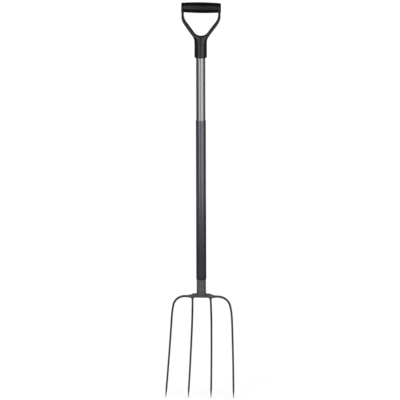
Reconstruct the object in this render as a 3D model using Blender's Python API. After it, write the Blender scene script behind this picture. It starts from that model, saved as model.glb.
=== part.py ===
# Compost fork: four dished tines on a forged crown, a tubular shaft and a D handle.
# Metres, +Z up along the shaft, tine points on the ground at z = 0, front of the tool towards -Y.
# Lengths below are measured from the shaft's axis and from the ground.

import math

import bmesh
import bpy
import numpy as np
from mathutils import Vector

# Clearance between pieces that seat on each other
FIT = 0.0003

# Head, seen from the front
HEAD_HEIGHT = 0.2987        # axis of the outer tines where they leave the crown, above the ground
OUTER_RUN = 0.0120          # straight stretch beside the crown
SHOULDER_RADIUS = 0.0370    # tight bend of an outer tine
SHOULDER_TURN = math.radians(78.0)
EASE_RADIUS = 0.2700        # slow bend that follows it
OUTER_SPLAY = math.radians(2.9)
INNER_HALF_SPACING = 0.0276
INNER_ROOT_DROP = 0.0087    # root of the inner tines below the head's height
INNER_SPLAY = math.radians(1.4)

# Head, seen from the side
DISH_RISE = 0.0053          # start of the dish above the head's height
DISH_BACK = 0.0030          # how far behind the shaft's axis the dish starts
DISH_ROOT_ANGLE = math.radians(21.2)
DISH_ROOT_RADIUS = 0.1670
DISH_MID_ANGLE = math.radians(13.8)
DISH_TIP_RADIUS = 0.8140

# Tine section
INNER_ROOT_RADIUS = 0.0030
OUTER_ROOT_RADIUS = 0.0036
TINE_SHANK_RADIUS = 0.0030
TINE_END_RADIUS = 0.0028
TINE_TIP_RADIUS = 0.0006
TINE_SHANK_AT = 0.0900      # distance from the root at which the shank's radius is reached
POINT_LENGTH = 0.0260
TENON_RADIUS = 0.0019
TENON_LENGTH = 0.0065
TINE_SIDES = 14

# Crown, with heights above and below the head's height
CROWN_HALF_WIDTH = 0.0380
CROWN_FLAT_HALF = 0.0235    # level part of the top, which is also the flat part of the back
CROWN_RISE = 0.0083
CROWN_ARCH_DROP = 0.0021    # underside at the middle
CROWN_HAUNCH_DROP = 0.0037  # underside at the inner tines
CROWN_END_HALF = 0.0040     # half height and half depth of the end faces
CROWN_DEPTH = 0.0160
CROWN_EDGE = 0.0022
BOSS_RADIUS = 0.0162
BOSS_RISE = 0.0098
PLUG_LENGTH = 0.0260
PLUG_CHAMFER = 0.0010
ROOT_FLARE = 0.0058         # radius of the flare around an inner tine where it meets the crown

# Neck, shaft and sleeve
SHAFT_RADIUS = 0.0142
SHAFT_WALL = 0.0015
SHAFT_LENGTH = 0.6827
NECK_WALL = 0.0020
NECK_LENGTH = 0.0892        # full diameter, from the crown to the swaged shoulder
NECK_SWAGE = 0.0030
SPIGOT_LENGTH = 0.1190      # reduced end inside the shaft tube
WELD_HEIGHT = 0.0042
SLEEVE_RISE = 0.0442        # bare neck below the sleeve
SLEEVE_LENGTH = 0.4936
SLEEVE_WALL = 0.00085
SLEEVE_CHAMFER = 0.0045
PIN_RADIUS = 0.0025
PIN_EDGE = 0.0290           # pins from both ends of the spigot
TUBE_SIDES = 40

# Handle, with heights above the top of the shaft tube
SOCKET_DEPTH = 0.0434       # length of tube inside the socket
SOCKET_WALL = 0.0045
SOCKET_STRAIGHT_RISE = 0.0017
SOCKET_CHAMFER = 0.0018
FLARE_RADIUS = 0.0380
ARM_ANGLE = math.radians(37.0)
ARM_WIDTH = 0.0107
ARM_TOP_WIDTH = 0.0069
ARM_TAPER_LATE = 3.1        # how late an arm narrows on its way up, 1 is an even taper
ARM_SECTION_POWER = 2.2     # 2 is an ellipse, more is squarer
ARM_END_RISE = 0.0042       # the arms end inside the eyes, above their axis
ARM_HALF_DEPTH = 0.0100
FLARE_HALF_DEPTH = 0.0086   # end of the socket's flare, inside the arms
FLARE_FALL = 1.7            # how late the flare thins, 1 is a straight fall
FLARE_INSET = 0.0014
ARM_BEND_RADIUS = 0.0412
CROTCH_RISE = 0.0218
CROTCH_RADIUS = 0.0243
HANDLE_HALF_WIDTH = 0.0595
GRIP_RISE = 0.1066
GRIP_BACK = 0.0180          # how far behind the shaft's axis the crossbar lies
EYE_RADIUS = 0.0146
EYE_WIDTH = 0.0072
EYE_EDGE = 0.0012
CORE_RADIUS = 0.0090
GRIP_END_RADIUS = 0.0148
GRIP_MID_RADIUS = 0.0165
GRIP_ROUND = 0.0016

# Screw at the back of the socket
SCREW_RISE = 0.0240         # above the bottom of the socket
SCREW_RADIUS = 0.0020
SCREW_HEAD_RADIUS = 0.0040
SCREW_HEAD_HEIGHT = 0.0024
SCREW_RECESS = 0.0030
SCREW_LENGTH = 0.0095
DRIVE_RADIUS = 0.0016
DRIVE_DEPTH = 0.0014

# Heights and radii that follow from the sizes above
INNER_ROOT_Z = HEAD_HEIGHT - INNER_ROOT_DROP
CROWN_TOP_Z = HEAD_HEIGHT + CROWN_RISE
BOSS_TOP_Z = HEAD_HEIGHT + BOSS_RISE
NECK_FOOT_Z = BOSS_TOP_Z + FIT
NECK_SHOULDER_Z = NECK_FOOT_Z + NECK_LENGTH
SPIGOT_FOOT_Z = NECK_SHOULDER_Z + NECK_SWAGE
SPIGOT_TOP_Z = SPIGOT_FOOT_Z + SPIGOT_LENGTH
SPIGOT_RADIUS = SHAFT_RADIUS - SHAFT_WALL - FIT
PIN_HEIGHTS = {"lower": SPIGOT_FOOT_Z + PIN_EDGE, "upper": SPIGOT_TOP_Z - PIN_EDGE}
SHAFT_FOOT_Z = SPIGOT_FOOT_Z + FIT
SHAFT_TOP_Z = SHAFT_FOOT_Z + SHAFT_LENGTH
SLEEVE_BOTTOM_Z = NECK_FOOT_Z + SLEEVE_RISE
SLEEVE_TOP_Z = SLEEVE_BOTTOM_Z + SLEEVE_LENGTH
SLEEVE_BORE = SHAFT_RADIUS + FIT
SOCKET_BORE = SHAFT_RADIUS + FIT
SOCKET_RADIUS = SOCKET_BORE + SOCKET_WALL
SOCKET_BOTTOM_Z = SHAFT_TOP_Z - SOCKET_DEPTH
SOCKET_STRAIGHT_TOP_Z = SHAFT_TOP_Z + SOCKET_STRAIGHT_RISE
CROTCH_Z = SHAFT_TOP_Z + CROTCH_RISE
GRIP_Z = SHAFT_TOP_Z + GRIP_RISE
GRIP_HALF_LENGTH = HANDLE_HALF_WIDTH - EYE_WIDTH
SCREW_Z = SOCKET_BOTTOM_Z + SCREW_RISE


def dish(z):
    # Distance in front of the shaft's axis at a height: an arc that leans back, then one that leans forward
    drop = HEAD_HEIGHT + DISH_RISE - z
    root_drop = DISH_ROOT_RADIUS * (math.sin(DISH_ROOT_ANGLE) + math.sin(DISH_MID_ANGLE))
    if drop <= root_drop:
        angle = math.asin(drop / DISH_ROOT_RADIUS - math.sin(DISH_ROOT_ANGLE))
        return -DISH_BACK + DISH_ROOT_RADIUS * (math.cos(DISH_ROOT_ANGLE) - math.cos(angle))
    angle = math.asin((drop - root_drop) / DISH_TIP_RADIUS + math.sin(DISH_MID_ANGLE))
    root_reach = DISH_ROOT_RADIUS * (math.cos(DISH_ROOT_ANGLE) - math.cos(DISH_MID_ANGLE))
    return -DISH_BACK + root_reach + DISH_TIP_RADIUS * (math.cos(DISH_MID_ANGLE) - math.cos(angle))


# The crown sits on the dish, and the tool stands with its origin under the middle of its outline
CROWN_Y = -dish(HEAD_HEIGHT)
TOOL_Y = (dish(0.0) + TINE_TIP_RADIUS - GRIP_BACK - GRIP_MID_RADIUS) / 2


def clear_scene():
    for item in list(bpy.data.objects):
        bpy.data.objects.remove(item, do_unlink=True)


def material(name, colour, roughness, metallic):
    made = bpy.data.materials.new(name)
    made.use_nodes = True
    shader = made.node_tree.nodes["Principled BSDF"]
    shader.inputs["Base Color"].default_value = (*colour, 1.0)
    shader.inputs["Roughness"].default_value = roughness
    shader.inputs["Metallic"].default_value = metallic
    return made


def place(name, bm, finish, parent, location=(0.0, 0.0, 0.0), rotation=(0.0, 0.0, 0.0)):
    # Turn a bmesh into a named object with outward faces and smooth shading
    bmesh.ops.recalc_face_normals(bm, faces=bm.faces)
    mesh = bpy.data.meshes.new(name)
    bm.to_mesh(mesh)
    bm.free()
    mesh.shade_smooth()
    mesh.set_sharp_from_angle(angle=math.radians(35.0))
    if finish is not None:
        mesh.materials.append(finish)
    made = bpy.data.objects.new(name, mesh)
    bpy.context.scene.collection.objects.link(made)
    made.parent = parent
    made.location = location
    made.rotation_euler = rotation
    return made


def tool(name, bm, parent, location=(0.0, 0.0, 0.0), rotation=(0.0, 0.0, 0.0)):
    # A shape that only adds to or cuts another object
    made = place(name, bm, None, parent, location, rotation)
    made.hide_render = True
    made.display_type = "WIRE"
    return made


def combine(target, other, operation):
    step = target.modifiers.new(other.name, "BOOLEAN")
    step.operation = operation
    step.solver = "EXACT"
    step.object = other


def turned(profile, sides=TUBE_SIDES):
    # Revolve a closed outline of (radius, height) points around Z; points on the axis meet in a pole.
    # It starts half a step round, so that its edges don't fall on those of a loft that it joins or cuts
    bm = bmesh.new()
    half_step = math.pi / sides
    points = [bm.verts.new((radius * math.cos(half_step), radius * math.sin(half_step), height))
              for radius, height in profile]
    edges = [bm.edges.new((a, b)) for a, b in zip(points, points[1:] + points[:1]) if a.co.x + b.co.x > 1e-9]
    bmesh.ops.spin(bm, geom=points + edges, cent=(0, 0, 0), axis=(0, 0, 1), angle=2 * math.pi, steps=sides,
                   use_merge=True)
    bmesh.ops.remove_doubles(bm, verts=bm.verts, dist=1e-7)
    return bm


def lofted(rings):
    # Skin a row of rings that have equally many points, and close both ends around a middle point
    bm = bmesh.new()
    rows = [[bm.verts.new(point) for point in ring] for ring in rings]
    count = len(rows[0])
    for lower, upper in zip(rows, rows[1:]):
        for i in range(count):
            j = (i + 1) % count
            bm.faces.new((lower[i], lower[j], upper[j], upper[i]))
    for row, ring in ((rows[0], rings[0]), (rows[-1], rings[-1])):
        middle = bm.verts.new(np.mean(ring, axis=0))
        for i in range(count):
            bm.faces.new((row[i], row[(i + 1) % count], middle))
    return bm


def cylinder(radius, start, end, sides=TUBE_SIDES):
    # Solid cylinder along Z between two heights
    return turned([(0.0, start), (radius, start), (radius, end), (0.0, end)], sides)


def arc(centre, radius, start, end, steps):
    # Points on a circle from one angle to another, both included
    angles = np.linspace(start, end, steps + 1)
    return [(centre[0] + radius * math.cos(a), centre[1] + radius * math.sin(a)) for a in angles]


def smoothed(share):
    # Ease from 0 to 1 without a kink at either end
    share = np.clip(share, 0.0, 1.0)
    return share * share * (3.0 - 2.0 * share)


def tine_rings(path, root_radius):
    # Round sections along a centre line that starts with the tenon and ends in the point
    steps = np.linalg.norm(np.diff(path, axis=0), axis=1)
    run = np.concatenate(([0.0], np.cumsum(steps)))
    length = run[-1]
    shoulder = length - POINT_LENGTH
    radius = np.interp(run, [0.0, TINE_SHANK_AT, shoulder],
                       [root_radius, TINE_SHANK_RADIUS, TINE_END_RADIUS])
    share = np.clip((run - shoulder) / POINT_LENGTH, 0.0, 1.0)
    radius = radius - (TINE_END_RADIUS - TINE_TIP_RADIUS) * share ** 1.35
    tangent = np.gradient(path, run, axis=0)
    tangent /= np.linalg.norm(tangent, axis=1)[:, None]
    root = path[0] - tangent[0] * TENON_LENGTH
    path = np.vstack((root, path[:1], path))
    radius = np.concatenate(([TENON_RADIUS, TENON_RADIUS], radius))
    tangent = np.vstack((tangent[:1], tangent[:1], tangent))
    side = np.cross(tangent, (0.0, 1.0, 0.0))
    side /= np.linalg.norm(side, axis=1)[:, None]
    front = np.cross(side, tangent)
    turn = np.linspace(0.0, 2 * math.pi, TINE_SIDES, endpoint=False)
    ring = np.cos(turn)[None, :, None] * side[:, None] + np.sin(turn)[None, :, None] * front[:, None]
    return path[:, None] + radius[:, None, None] * ring


def down_to_ground(points):
    # Front view points (x, z) laid on the dish
    return np.array([(x, -dish(z), z) for x, z in points])


def point_heights(start):
    # Heights from a start down to the ground, closer together at the point
    shank = np.linspace(start, POINT_LENGTH, 22)
    return np.concatenate((shank, POINT_LENGTH * np.array([0.72, 0.46, 0.24, 0.08, 0.0])))


def inner_path():
    heights = point_heights(INNER_ROOT_Z)
    offsets = INNER_HALF_SPACING + (INNER_ROOT_Z - heights) * math.tan(INNER_SPLAY)
    return down_to_ground(zip(offsets, heights))


def outer_path():
    # Straight beside the crown, round the shoulder, a slower bend, then straight to the point
    start = CROWN_HALF_WIDTH + FIT
    bend_x = start + OUTER_RUN
    points = [(start, HEAD_HEIGHT), (start + OUTER_RUN / 2, HEAD_HEIGHT)]
    centre = (bend_x, HEAD_HEIGHT - SHOULDER_RADIUS)
    points += arc(centre, SHOULDER_RADIUS, math.pi / 2, math.pi / 2 - SHOULDER_TURN, 12)
    turn_end = math.pi / 2 - SHOULDER_TURN
    reach = SHOULDER_RADIUS - EASE_RADIUS
    centre = (bend_x + reach * math.cos(turn_end), centre[1] + reach * math.sin(turn_end))
    points += arc(centre, EASE_RADIUS, turn_end, OUTER_SPLAY, 5)[1:]
    x, z = points[-1]
    points += [(x + (z - height) * math.tan(OUTER_SPLAY), height) for height in point_heights(z)[1:]]
    return down_to_ground(points)


def add_tines(steel, parent):
    kinds = (("inner", inner_path(), INNER_ROOT_RADIUS), ("outer", outer_path(), OUTER_ROOT_RADIUS))
    for kind, path, root_radius in kinds:
        for side, sign in (("left", -1.0), ("right", 1.0)):
            rings = tine_rings(path, root_radius) * (sign, 1.0, 1.0)
            place(f"tine_{kind}_{side}", lofted(rings), steel, parent)


def crown_section(x):
    # Rounded rectangle across the bar: arched below, level and then sloping above, thinner towards the ends
    share = (abs(x) - CROWN_FLAT_HALF) / (CROWN_HALF_WIDTH - CROWN_FLAT_HALF)
    ease = smoothed(share)
    top = CROWN_RISE + (CROWN_END_HALF - CROWN_RISE) * ease
    arch = min(abs(x) / INNER_HALF_SPACING, 1.0) ** 2
    low = -CROWN_ARCH_DROP + (CROWN_ARCH_DROP - CROWN_HAUNCH_DROP) * arch
    low += (CROWN_HAUNCH_DROP - CROWN_END_HALF) * ease
    half = CROWN_DEPTH / 2 + (CROWN_END_HALF - CROWN_DEPTH / 2) * ease
    quarter = math.pi / 2
    ring = []
    for turn, y, z in ((0, half, top), (1, -half, top), (2, -half, low), (3, half, low)):
        centre = (y - math.copysign(CROWN_EDGE, y), z - (CROWN_EDGE if z == top else -CROWN_EDGE))
        ring += arc(centre, CROWN_EDGE, turn * quarter, (turn + 1) * quarter, 3)
    return [(x, y, HEAD_HEIGHT + z) for y, z in ring]


def inner_root(sign):
    # Place and turn of an inner tine's root, with Z pointing back up along the tine
    path = inner_path()
    back = path[0] - path[1]
    turn = Vector((0, 0, 1)).rotation_difference(Vector((sign * back[0], back[1], back[2]))).to_euler()
    return (sign * path[0][0], path[0][1], path[0][2]), turn


def add_crown(steel, parent):
    # Forged bar, skinned from its sections
    bar = lofted([crown_section(x) for x in np.linspace(-CROWN_HALF_WIDTH, CROWN_HALF_WIDTH, 25)])
    crown = place("crown", bar, steel, parent, (0.0, CROWN_Y, 0.0))

    # Boss under the neck, and the plug that the neck tube slides over
    plug = SHAFT_RADIUS - NECK_WALL - FIT
    top = BOSS_TOP_Z + PLUG_LENGTH
    foot = HEAD_HEIGHT - CROWN_ARCH_DROP + CROWN_EDGE
    boss = turned([(0.0, foot), (CROWN_DEPTH / 2, foot), (BOSS_RADIUS, CROWN_TOP_Z - CROWN_EDGE / 2),
                   (BOSS_RADIUS, BOSS_TOP_Z), (plug, BOSS_TOP_Z), (plug, top - PLUG_CHAMFER),
                   (plug - PLUG_CHAMFER, top), (0.0, top)])
    combine(crown, tool("crown_boss", boss, parent), "UNION")

    # Flares that run down into the inner tines, in line with them, and the seats of all four tenons
    rise = INNER_ROOT_DROP - CROWN_HAUNCH_DROP
    neck = [(INNER_ROOT_RADIUS + (ROOT_FLARE - INNER_ROOT_RADIUS) * share ** 2.2, FIT + rise * share)
            for share in np.linspace(0.0, 1.0, 6)]
    inside = rise + CROWN_EDGE * 2
    for side, sign in (("left", -1.0), ("right", 1.0)):
        root, turn = inner_root(sign)
        flare = turned([(0.0, FIT)] + neck + [(ROOT_FLARE * 0.8, inside), (0.0, inside)], 24)
        combine(crown, tool(f"crown_flare_{side}", flare, parent, root, turn), "UNION")
    for side, sign in (("left", -1.0), ("right", 1.0)):
        root, turn = inner_root(sign)
        seat = cylinder(TENON_RADIUS + FIT, -0.001, TENON_LENGTH + FIT, 16)
        combine(crown, tool(f"inner_seat_{side}", seat, parent, root, turn), "DIFFERENCE")
        seat = cylinder(TENON_RADIUS + FIT, -0.001, TENON_LENGTH, 16)
        end = (sign * CROWN_HALF_WIDTH, CROWN_Y, HEAD_HEIGHT)
        combine(crown, tool(f"outer_seat_{side}", seat, parent, end, (0.0, -sign * math.pi / 2, 0.0)),
                "DIFFERENCE")


def add_neck(steel, weld, parent):
    bore = SHAFT_RADIUS - NECK_WALL
    spigot_bore = SPIGOT_RADIUS - NECK_WALL
    neck = place("neck_tube", turned([
        (SHAFT_RADIUS, NECK_FOOT_Z), (SHAFT_RADIUS, NECK_SHOULDER_Z), (SPIGOT_RADIUS, SPIGOT_FOOT_Z),
        (SPIGOT_RADIUS, SPIGOT_TOP_Z), (spigot_bore, SPIGOT_TOP_Z), (spigot_bore, SPIGOT_FOOT_Z),
        (bore, NECK_SHOULDER_Z), (bore, NECK_FOOT_Z)]), steel, parent)
    drill_pins(neck, parent)

    # Fillet weld around the foot: a ring with a hollow face
    inner = SHAFT_RADIUS + FIT
    foot = BOSS_TOP_Z + FIT
    leg = BOSS_RADIUS - inner
    face = [(inner + leg * (1 - math.sin(a)), foot + WELD_HEIGHT * (1 - math.cos(a)))
            for a in np.linspace(0.0, math.pi / 2, 5)[:-1]]
    ring = [(inner, foot)] + face + [(inner + leg * 0.06, foot + WELD_HEIGHT), (inner, foot + WELD_HEIGHT)]
    place("neck_weld", turned(ring), weld, parent)


def drill_pins(target, parent):
    for where, height in PIN_HEIGHTS.items():
        drill = cylinder(PIN_RADIUS + FIT, -2 * SHAFT_RADIUS, 2 * SHAFT_RADIUS, 16)
        combine(target, tool(f"drill_{target.name}_{where}", drill, parent, (0.0, 0.0, height),
                             (0.0, math.pi / 2, 0.0)), "DIFFERENCE")


def add_pins(steel, parent):
    chamfer = 0.0004
    end = SHAFT_RADIUS - FIT / 2
    for where, height in PIN_HEIGHTS.items():
        pin = turned([(0.0, -end), (PIN_RADIUS - chamfer, -end), (PIN_RADIUS, chamfer - end),
                      (PIN_RADIUS, end - chamfer), (PIN_RADIUS - chamfer, end), (0.0, end)], 16)
        place(f"neck_pin_{where}", pin, steel, parent, (0.0, 0.0, height), (0.0, math.pi / 2, 0.0))


def add_shaft(aluminium, plastic, parent):
    bore = SHAFT_RADIUS - SHAFT_WALL
    shaft = place("shaft_tube", turned([(SHAFT_RADIUS, SHAFT_FOOT_Z), (SHAFT_RADIUS, SHAFT_TOP_Z),
                                        (bore, SHAFT_TOP_Z), (bore, SHAFT_FOOT_Z)]), aluminium, parent)
    drill_pins(shaft, parent)
    drill = cylinder(SCREW_RADIUS + FIT, 0.0, 2 * SHAFT_RADIUS, 16)
    combine(shaft, tool("drill_shaft_screw", drill, parent, (0.0, 0.0, SCREW_Z), (-math.pi / 2, 0.0, 0.0)),
            "DIFFERENCE")

    outer = SLEEVE_BORE + SLEEVE_WALL
    lip = outer - 0.7 * SLEEVE_WALL
    place("shaft_sleeve", turned([
        (lip, SLEEVE_BOTTOM_Z), (outer, SLEEVE_BOTTOM_Z + SLEEVE_CHAMFER), (outer, SLEEVE_TOP_Z - 0.0008),
        (lip, SLEEVE_TOP_Z), (SLEEVE_BORE, SLEEVE_TOP_Z), (SLEEVE_BORE, SLEEVE_BOTTOM_Z)]), plastic, parent)


def handle_lean(z):
    # The moulding leans back in a straight line from the top of the socket to the crossbar
    share = (z - SOCKET_STRAIGHT_TOP_Z) / (GRIP_Z - SOCKET_STRAIGHT_TOP_Z)
    return GRIP_BACK * np.clip(share, 0.0, None) ** 1.15


def rounded_section(half_width, half_depth, count=20, power=ARM_SECTION_POWER):
    # Superellipse between a rectangle and an ellipse
    turn = np.linspace(0.0, 2 * math.pi, count, endpoint=False)
    cos, sin = np.cos(turn), np.sin(turn)
    across = half_width * np.sign(cos) * np.abs(cos) ** (2 / power)
    along = half_depth * np.sign(sin) * np.abs(sin) ** (2 / power)
    return across, along


def arm_path():
    # Centre line of the right arm, from the bottom of the crotch up to the crossbar
    half = ARM_WIDTH / 2
    centre_z = CROTCH_Z + CROTCH_RADIUS
    low = arc((0.0, centre_z), CROTCH_RADIUS + half, -math.pi / 2, -ARM_ANGLE, 8)
    top_x = HANDLE_HALF_WIDTH - EYE_WIDTH / 2
    x, z = low[-1]
    bend_x = top_x - ARM_BEND_RADIUS
    meet_x = bend_x + ARM_BEND_RADIUS * math.cos(ARM_ANGLE)
    meet_z = z + (meet_x - x) / math.tan(ARM_ANGLE)
    bend_z = meet_z + ARM_BEND_RADIUS * math.sin(ARM_ANGLE)
    slope = [(x + (meet_x - x) * share, z + (meet_z - z) * share) for share in (0.25, 0.5, 0.75)]
    high = arc((bend_x, bend_z), ARM_BEND_RADIUS, -ARM_ANGLE, 0.0, 6)
    rise = [(top_x, bend_z + (GRIP_Z + ARM_END_RISE - bend_z) * share) for share in (1 / 3, 2 / 3, 1.0)]
    return low + slope + high + rise


def add_handle(plastic, parent):
    # Both arms as one loft, from the left eye down around the crotch and up to the right eye
    right = arm_path()
    path = np.array([(-x, z) for x, z in reversed(right)] + right[1:])
    heading = np.gradient(path, axis=0)
    heading /= np.linalg.norm(heading, axis=1)[:, None]
    rings = []
    for (x, z), (ux, uz) in zip(path, heading):
        rise = smoothed((z - CROTCH_Z) / (GRIP_Z - EYE_RADIUS - CROTCH_Z))
        half_width = (ARM_WIDTH + (ARM_TOP_WIDTH - ARM_WIDTH) * rise ** ARM_TAPER_LATE) / 2
        half_depth = ARM_HALF_DEPTH + (EYE_RADIUS * 0.78 - ARM_HALF_DEPTH) * rise ** 2
        across, along = rounded_section(half_width, half_depth)
        rings.append([(x - uz * a, handle_lean(z) + b, z + ux * a) for a, b in zip(across, along)])
    handle = place("handle_frame", lofted(rings), plastic, parent)

    # Socket: round below, spreading sideways and thinning front to back until it ends inside the arms
    mouth = SOCKET_RADIUS - SOCKET_CHAMFER
    sections = [(SOCKET_BOTTOM_Z, mouth, mouth, 0.0),
                (SOCKET_BOTTOM_Z + SOCKET_CHAMFER, SOCKET_RADIUS, SOCKET_RADIUS, 0.0)]
    for share in np.linspace(0.0, 1.0, 8):
        height = SOCKET_STRAIGHT_TOP_Z + FLARE_RADIUS * math.sin(ARM_ANGLE * share)
        width = SOCKET_RADIUS + FLARE_RADIUS * (1 - math.cos(ARM_ANGLE * share)) - FLARE_INSET * share ** 3
        depth = SOCKET_RADIUS + (FLARE_HALF_DEPTH - SOCKET_RADIUS) * share ** FLARE_FALL
        sections.append((height, width, depth, share))
    turn = np.linspace(0.0, 2 * math.pi, TUBE_SIDES, endpoint=False)
    saddle = sections[-1][0] - (CROTCH_Z - ARM_WIDTH / 2)
    body = []
    for height, width, depth, share in sections:
        dip = saddle * share ** 2
        body.append([(width * math.cos(a), handle_lean(height) * share + depth * math.sin(a),
                      height - dip * math.sin(a) ** 2) for a in turn])
    combine(handle, tool("handle_socket", lofted(body), parent), "UNION")

    # Crossbar: the eyes at both ends and the core between them
    end = HANDLE_HALF_WIDTH
    half = [(CORE_RADIUS, GRIP_HALF_LENGTH), (EYE_RADIUS, GRIP_HALF_LENGTH), (EYE_RADIUS, end - EYE_EDGE),
            (EYE_RADIUS - EYE_EDGE, end), (0.0, end)]
    crossbar = turned([(radius, -height) for radius, height in reversed(half)] + half)
    middle = (0.0, GRIP_BACK, GRIP_Z)
    combine(handle, tool("handle_crossbar", crossbar, parent, middle, (0.0, math.pi / 2, 0.0)), "UNION")

    # Bore for the shaft, and the stepped hole for the screw
    bore = cylinder(SOCKET_BORE, SOCKET_BOTTOM_Z - 0.01, SHAFT_TOP_Z + FIT)
    combine(handle, tool("handle_bore", bore, parent), "DIFFERENCE")
    back = SOCKET_RADIUS - SCREW_RECESS
    hole = turned([(0.0, 0.0), (SCREW_RADIUS + FIT, 0.0), (SCREW_RADIUS + FIT, back),
                   (SCREW_HEAD_RADIUS + FIT, back), (SCREW_HEAD_RADIUS + FIT, 2 * SOCKET_RADIUS),
                   (0.0, 2 * SOCKET_RADIUS)], 24)
    combine(handle, tool("handle_screw_hole", hole, parent, (0.0, 0.0, SCREW_Z), (-math.pi / 2, 0.0, 0.0)),
            "DIFFERENCE")


def add_grip(rubber, parent):
    # Barrel around the core: an arc between the two ends
    half = GRIP_HALF_LENGTH - FIT
    rise = GRIP_MID_RADIUS - GRIP_END_RADIUS
    shares = np.linspace(-1.0, 1.0, 13)
    swell = [(GRIP_END_RADIUS + rise * (1 - share ** 2), half * share) for share in shares]
    body = [(GRIP_END_RADIUS - GRIP_ROUND * 0.5, -half)]
    body += [(radius, height) for radius, height in swell if abs(height) < half - GRIP_ROUND]
    body += [(GRIP_END_RADIUS - GRIP_ROUND * 0.5, half)]
    bore = CORE_RADIUS + FIT
    place("grip_sleeve", turned([(bore, -half)] + body + [(bore, half)]), rubber, parent,
          (0.0, GRIP_BACK, GRIP_Z), (0.0, math.pi / 2, 0.0))


def add_screw(steel, parent):
    seat = SOCKET_RADIUS - SCREW_RECESS + FIT
    head = seat + SCREW_HEAD_HEIGHT
    tip = seat - SCREW_LENGTH
    screw = place("handle_screw", turned([
        (0.0, tip), (SCREW_RADIUS * 0.25, tip), (SCREW_RADIUS, tip + 0.0025), (SCREW_RADIUS, seat),
        (SCREW_HEAD_RADIUS, seat), (SCREW_HEAD_RADIUS, head - 0.0009), (SCREW_HEAD_RADIUS - 0.0011, head),
        (0.0, head)], 24), steel, parent, (0.0, 0.0, SCREW_Z), (-math.pi / 2, 0.0, 0.0))
    drive = tool("screw_drive", cylinder(DRIVE_RADIUS, head - DRIVE_DEPTH, head + 0.001, 6), parent,
                 (0.0, 0.0, SCREW_Z), (-math.pi / 2, 0.0, 0.0))
    combine(screw, drive, "DIFFERENCE")


def build():
    clear_scene()
    stand = bpy.data.objects.new("tool_axis", None)
    stand.location = (0.0, TOOL_Y, 0.0)
    bpy.context.scene.collection.objects.link(stand)
    forged = material("forged steel", (0.095, 0.086, 0.087), 0.55, 0.4)
    tine = material("coated tine steel", (0.042, 0.041, 0.042), 0.5, 0.4)
    coated = material("graphite coated steel", (0.13, 0.13, 0.13), 0.5, 0.45)
    bright = material("zinc plated steel", (0.55, 0.55, 0.53), 0.35, 1.0)
    aluminium = material("satin aluminium", (0.58, 0.58, 0.59), 0.28, 1.0)
    plastic = material("blue grey sleeve plastic", (0.16, 0.163, 0.19), 0.35, 0.8)
    moulding = material("black moulding", (0.01, 0.01, 0.01), 0.3, 0.0)
    soft = material("soft black grip", (0.008, 0.008, 0.008), 0.5, 0.0)
    add_tines(tine, stand)
    add_crown(forged, stand)
    add_neck(coated, forged, stand)
    add_pins(bright, stand)
    add_shaft(aluminium, plastic, stand)
    add_handle(moulding, stand)
    add_grip(soft, stand)
    add_screw(bright, stand)


build()
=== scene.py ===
import math

import bpy
import numpy as np
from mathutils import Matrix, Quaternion, Vector


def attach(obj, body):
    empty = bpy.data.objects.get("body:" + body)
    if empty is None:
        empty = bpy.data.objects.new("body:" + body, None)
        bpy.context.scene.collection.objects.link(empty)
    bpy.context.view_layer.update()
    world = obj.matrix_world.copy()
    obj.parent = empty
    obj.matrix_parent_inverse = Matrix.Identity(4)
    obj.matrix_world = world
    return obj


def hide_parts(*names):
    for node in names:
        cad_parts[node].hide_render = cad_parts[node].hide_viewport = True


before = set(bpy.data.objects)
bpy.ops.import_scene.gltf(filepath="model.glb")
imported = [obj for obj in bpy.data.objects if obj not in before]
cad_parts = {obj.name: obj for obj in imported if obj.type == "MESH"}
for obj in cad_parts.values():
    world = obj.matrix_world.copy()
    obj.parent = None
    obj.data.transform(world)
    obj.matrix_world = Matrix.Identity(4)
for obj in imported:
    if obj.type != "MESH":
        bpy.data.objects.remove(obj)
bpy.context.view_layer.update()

# Looks of a four-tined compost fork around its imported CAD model.
# Metres, +Z up along the shaft, tine points at z = 0, front of the tool towards -Y.
# Sizes repeat those of the CAD source; heights are above the ground.

fit = 0.0003                       # clearance between seated pieces
tiny = 1e-9                        # keeps divisions from meeting zero
hair = 1e-6                        # a micrometre, by which two radii count as one

head = dict(
    height=0.2987,                 # axis of the outer tines where they leave the crown
    crownHalf=0.0380,              # half the crown's width, where they leave it
    run=0.0120,                    # their straight stretch beside it
    shoulder=0.0370,               # radius of their shoulder
    turn=math.radians(78.0),       # how far the shoulder turns them down
    slowBend=0.2700,               # radius of the slower bend that follows
    splay=math.radians(2.9),       # how far they lean outwards below it
    innerHalf=0.0276,              # inner tines' distance from the middle at their roots
    innerDrop=0.0087,              # those roots below the height
    innerSplay=math.radians(1.4),
    dishRise=0.0053,               # start of the dish above the height
    dishBack=0.0030,               # and behind the shaft's axis
    rootAngle=math.radians(21.2),  # slope of the dish at its start, backwards
    rootRadius=0.1670,             # radius of its upper arc
    midAngle=math.radians(13.8),   # slope where its two arcs meet, forwards
    tipRadius=0.8140,              # radius of its lower arc
    pointRadius=0.0006,            # of the tines' rounded points
)


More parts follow.
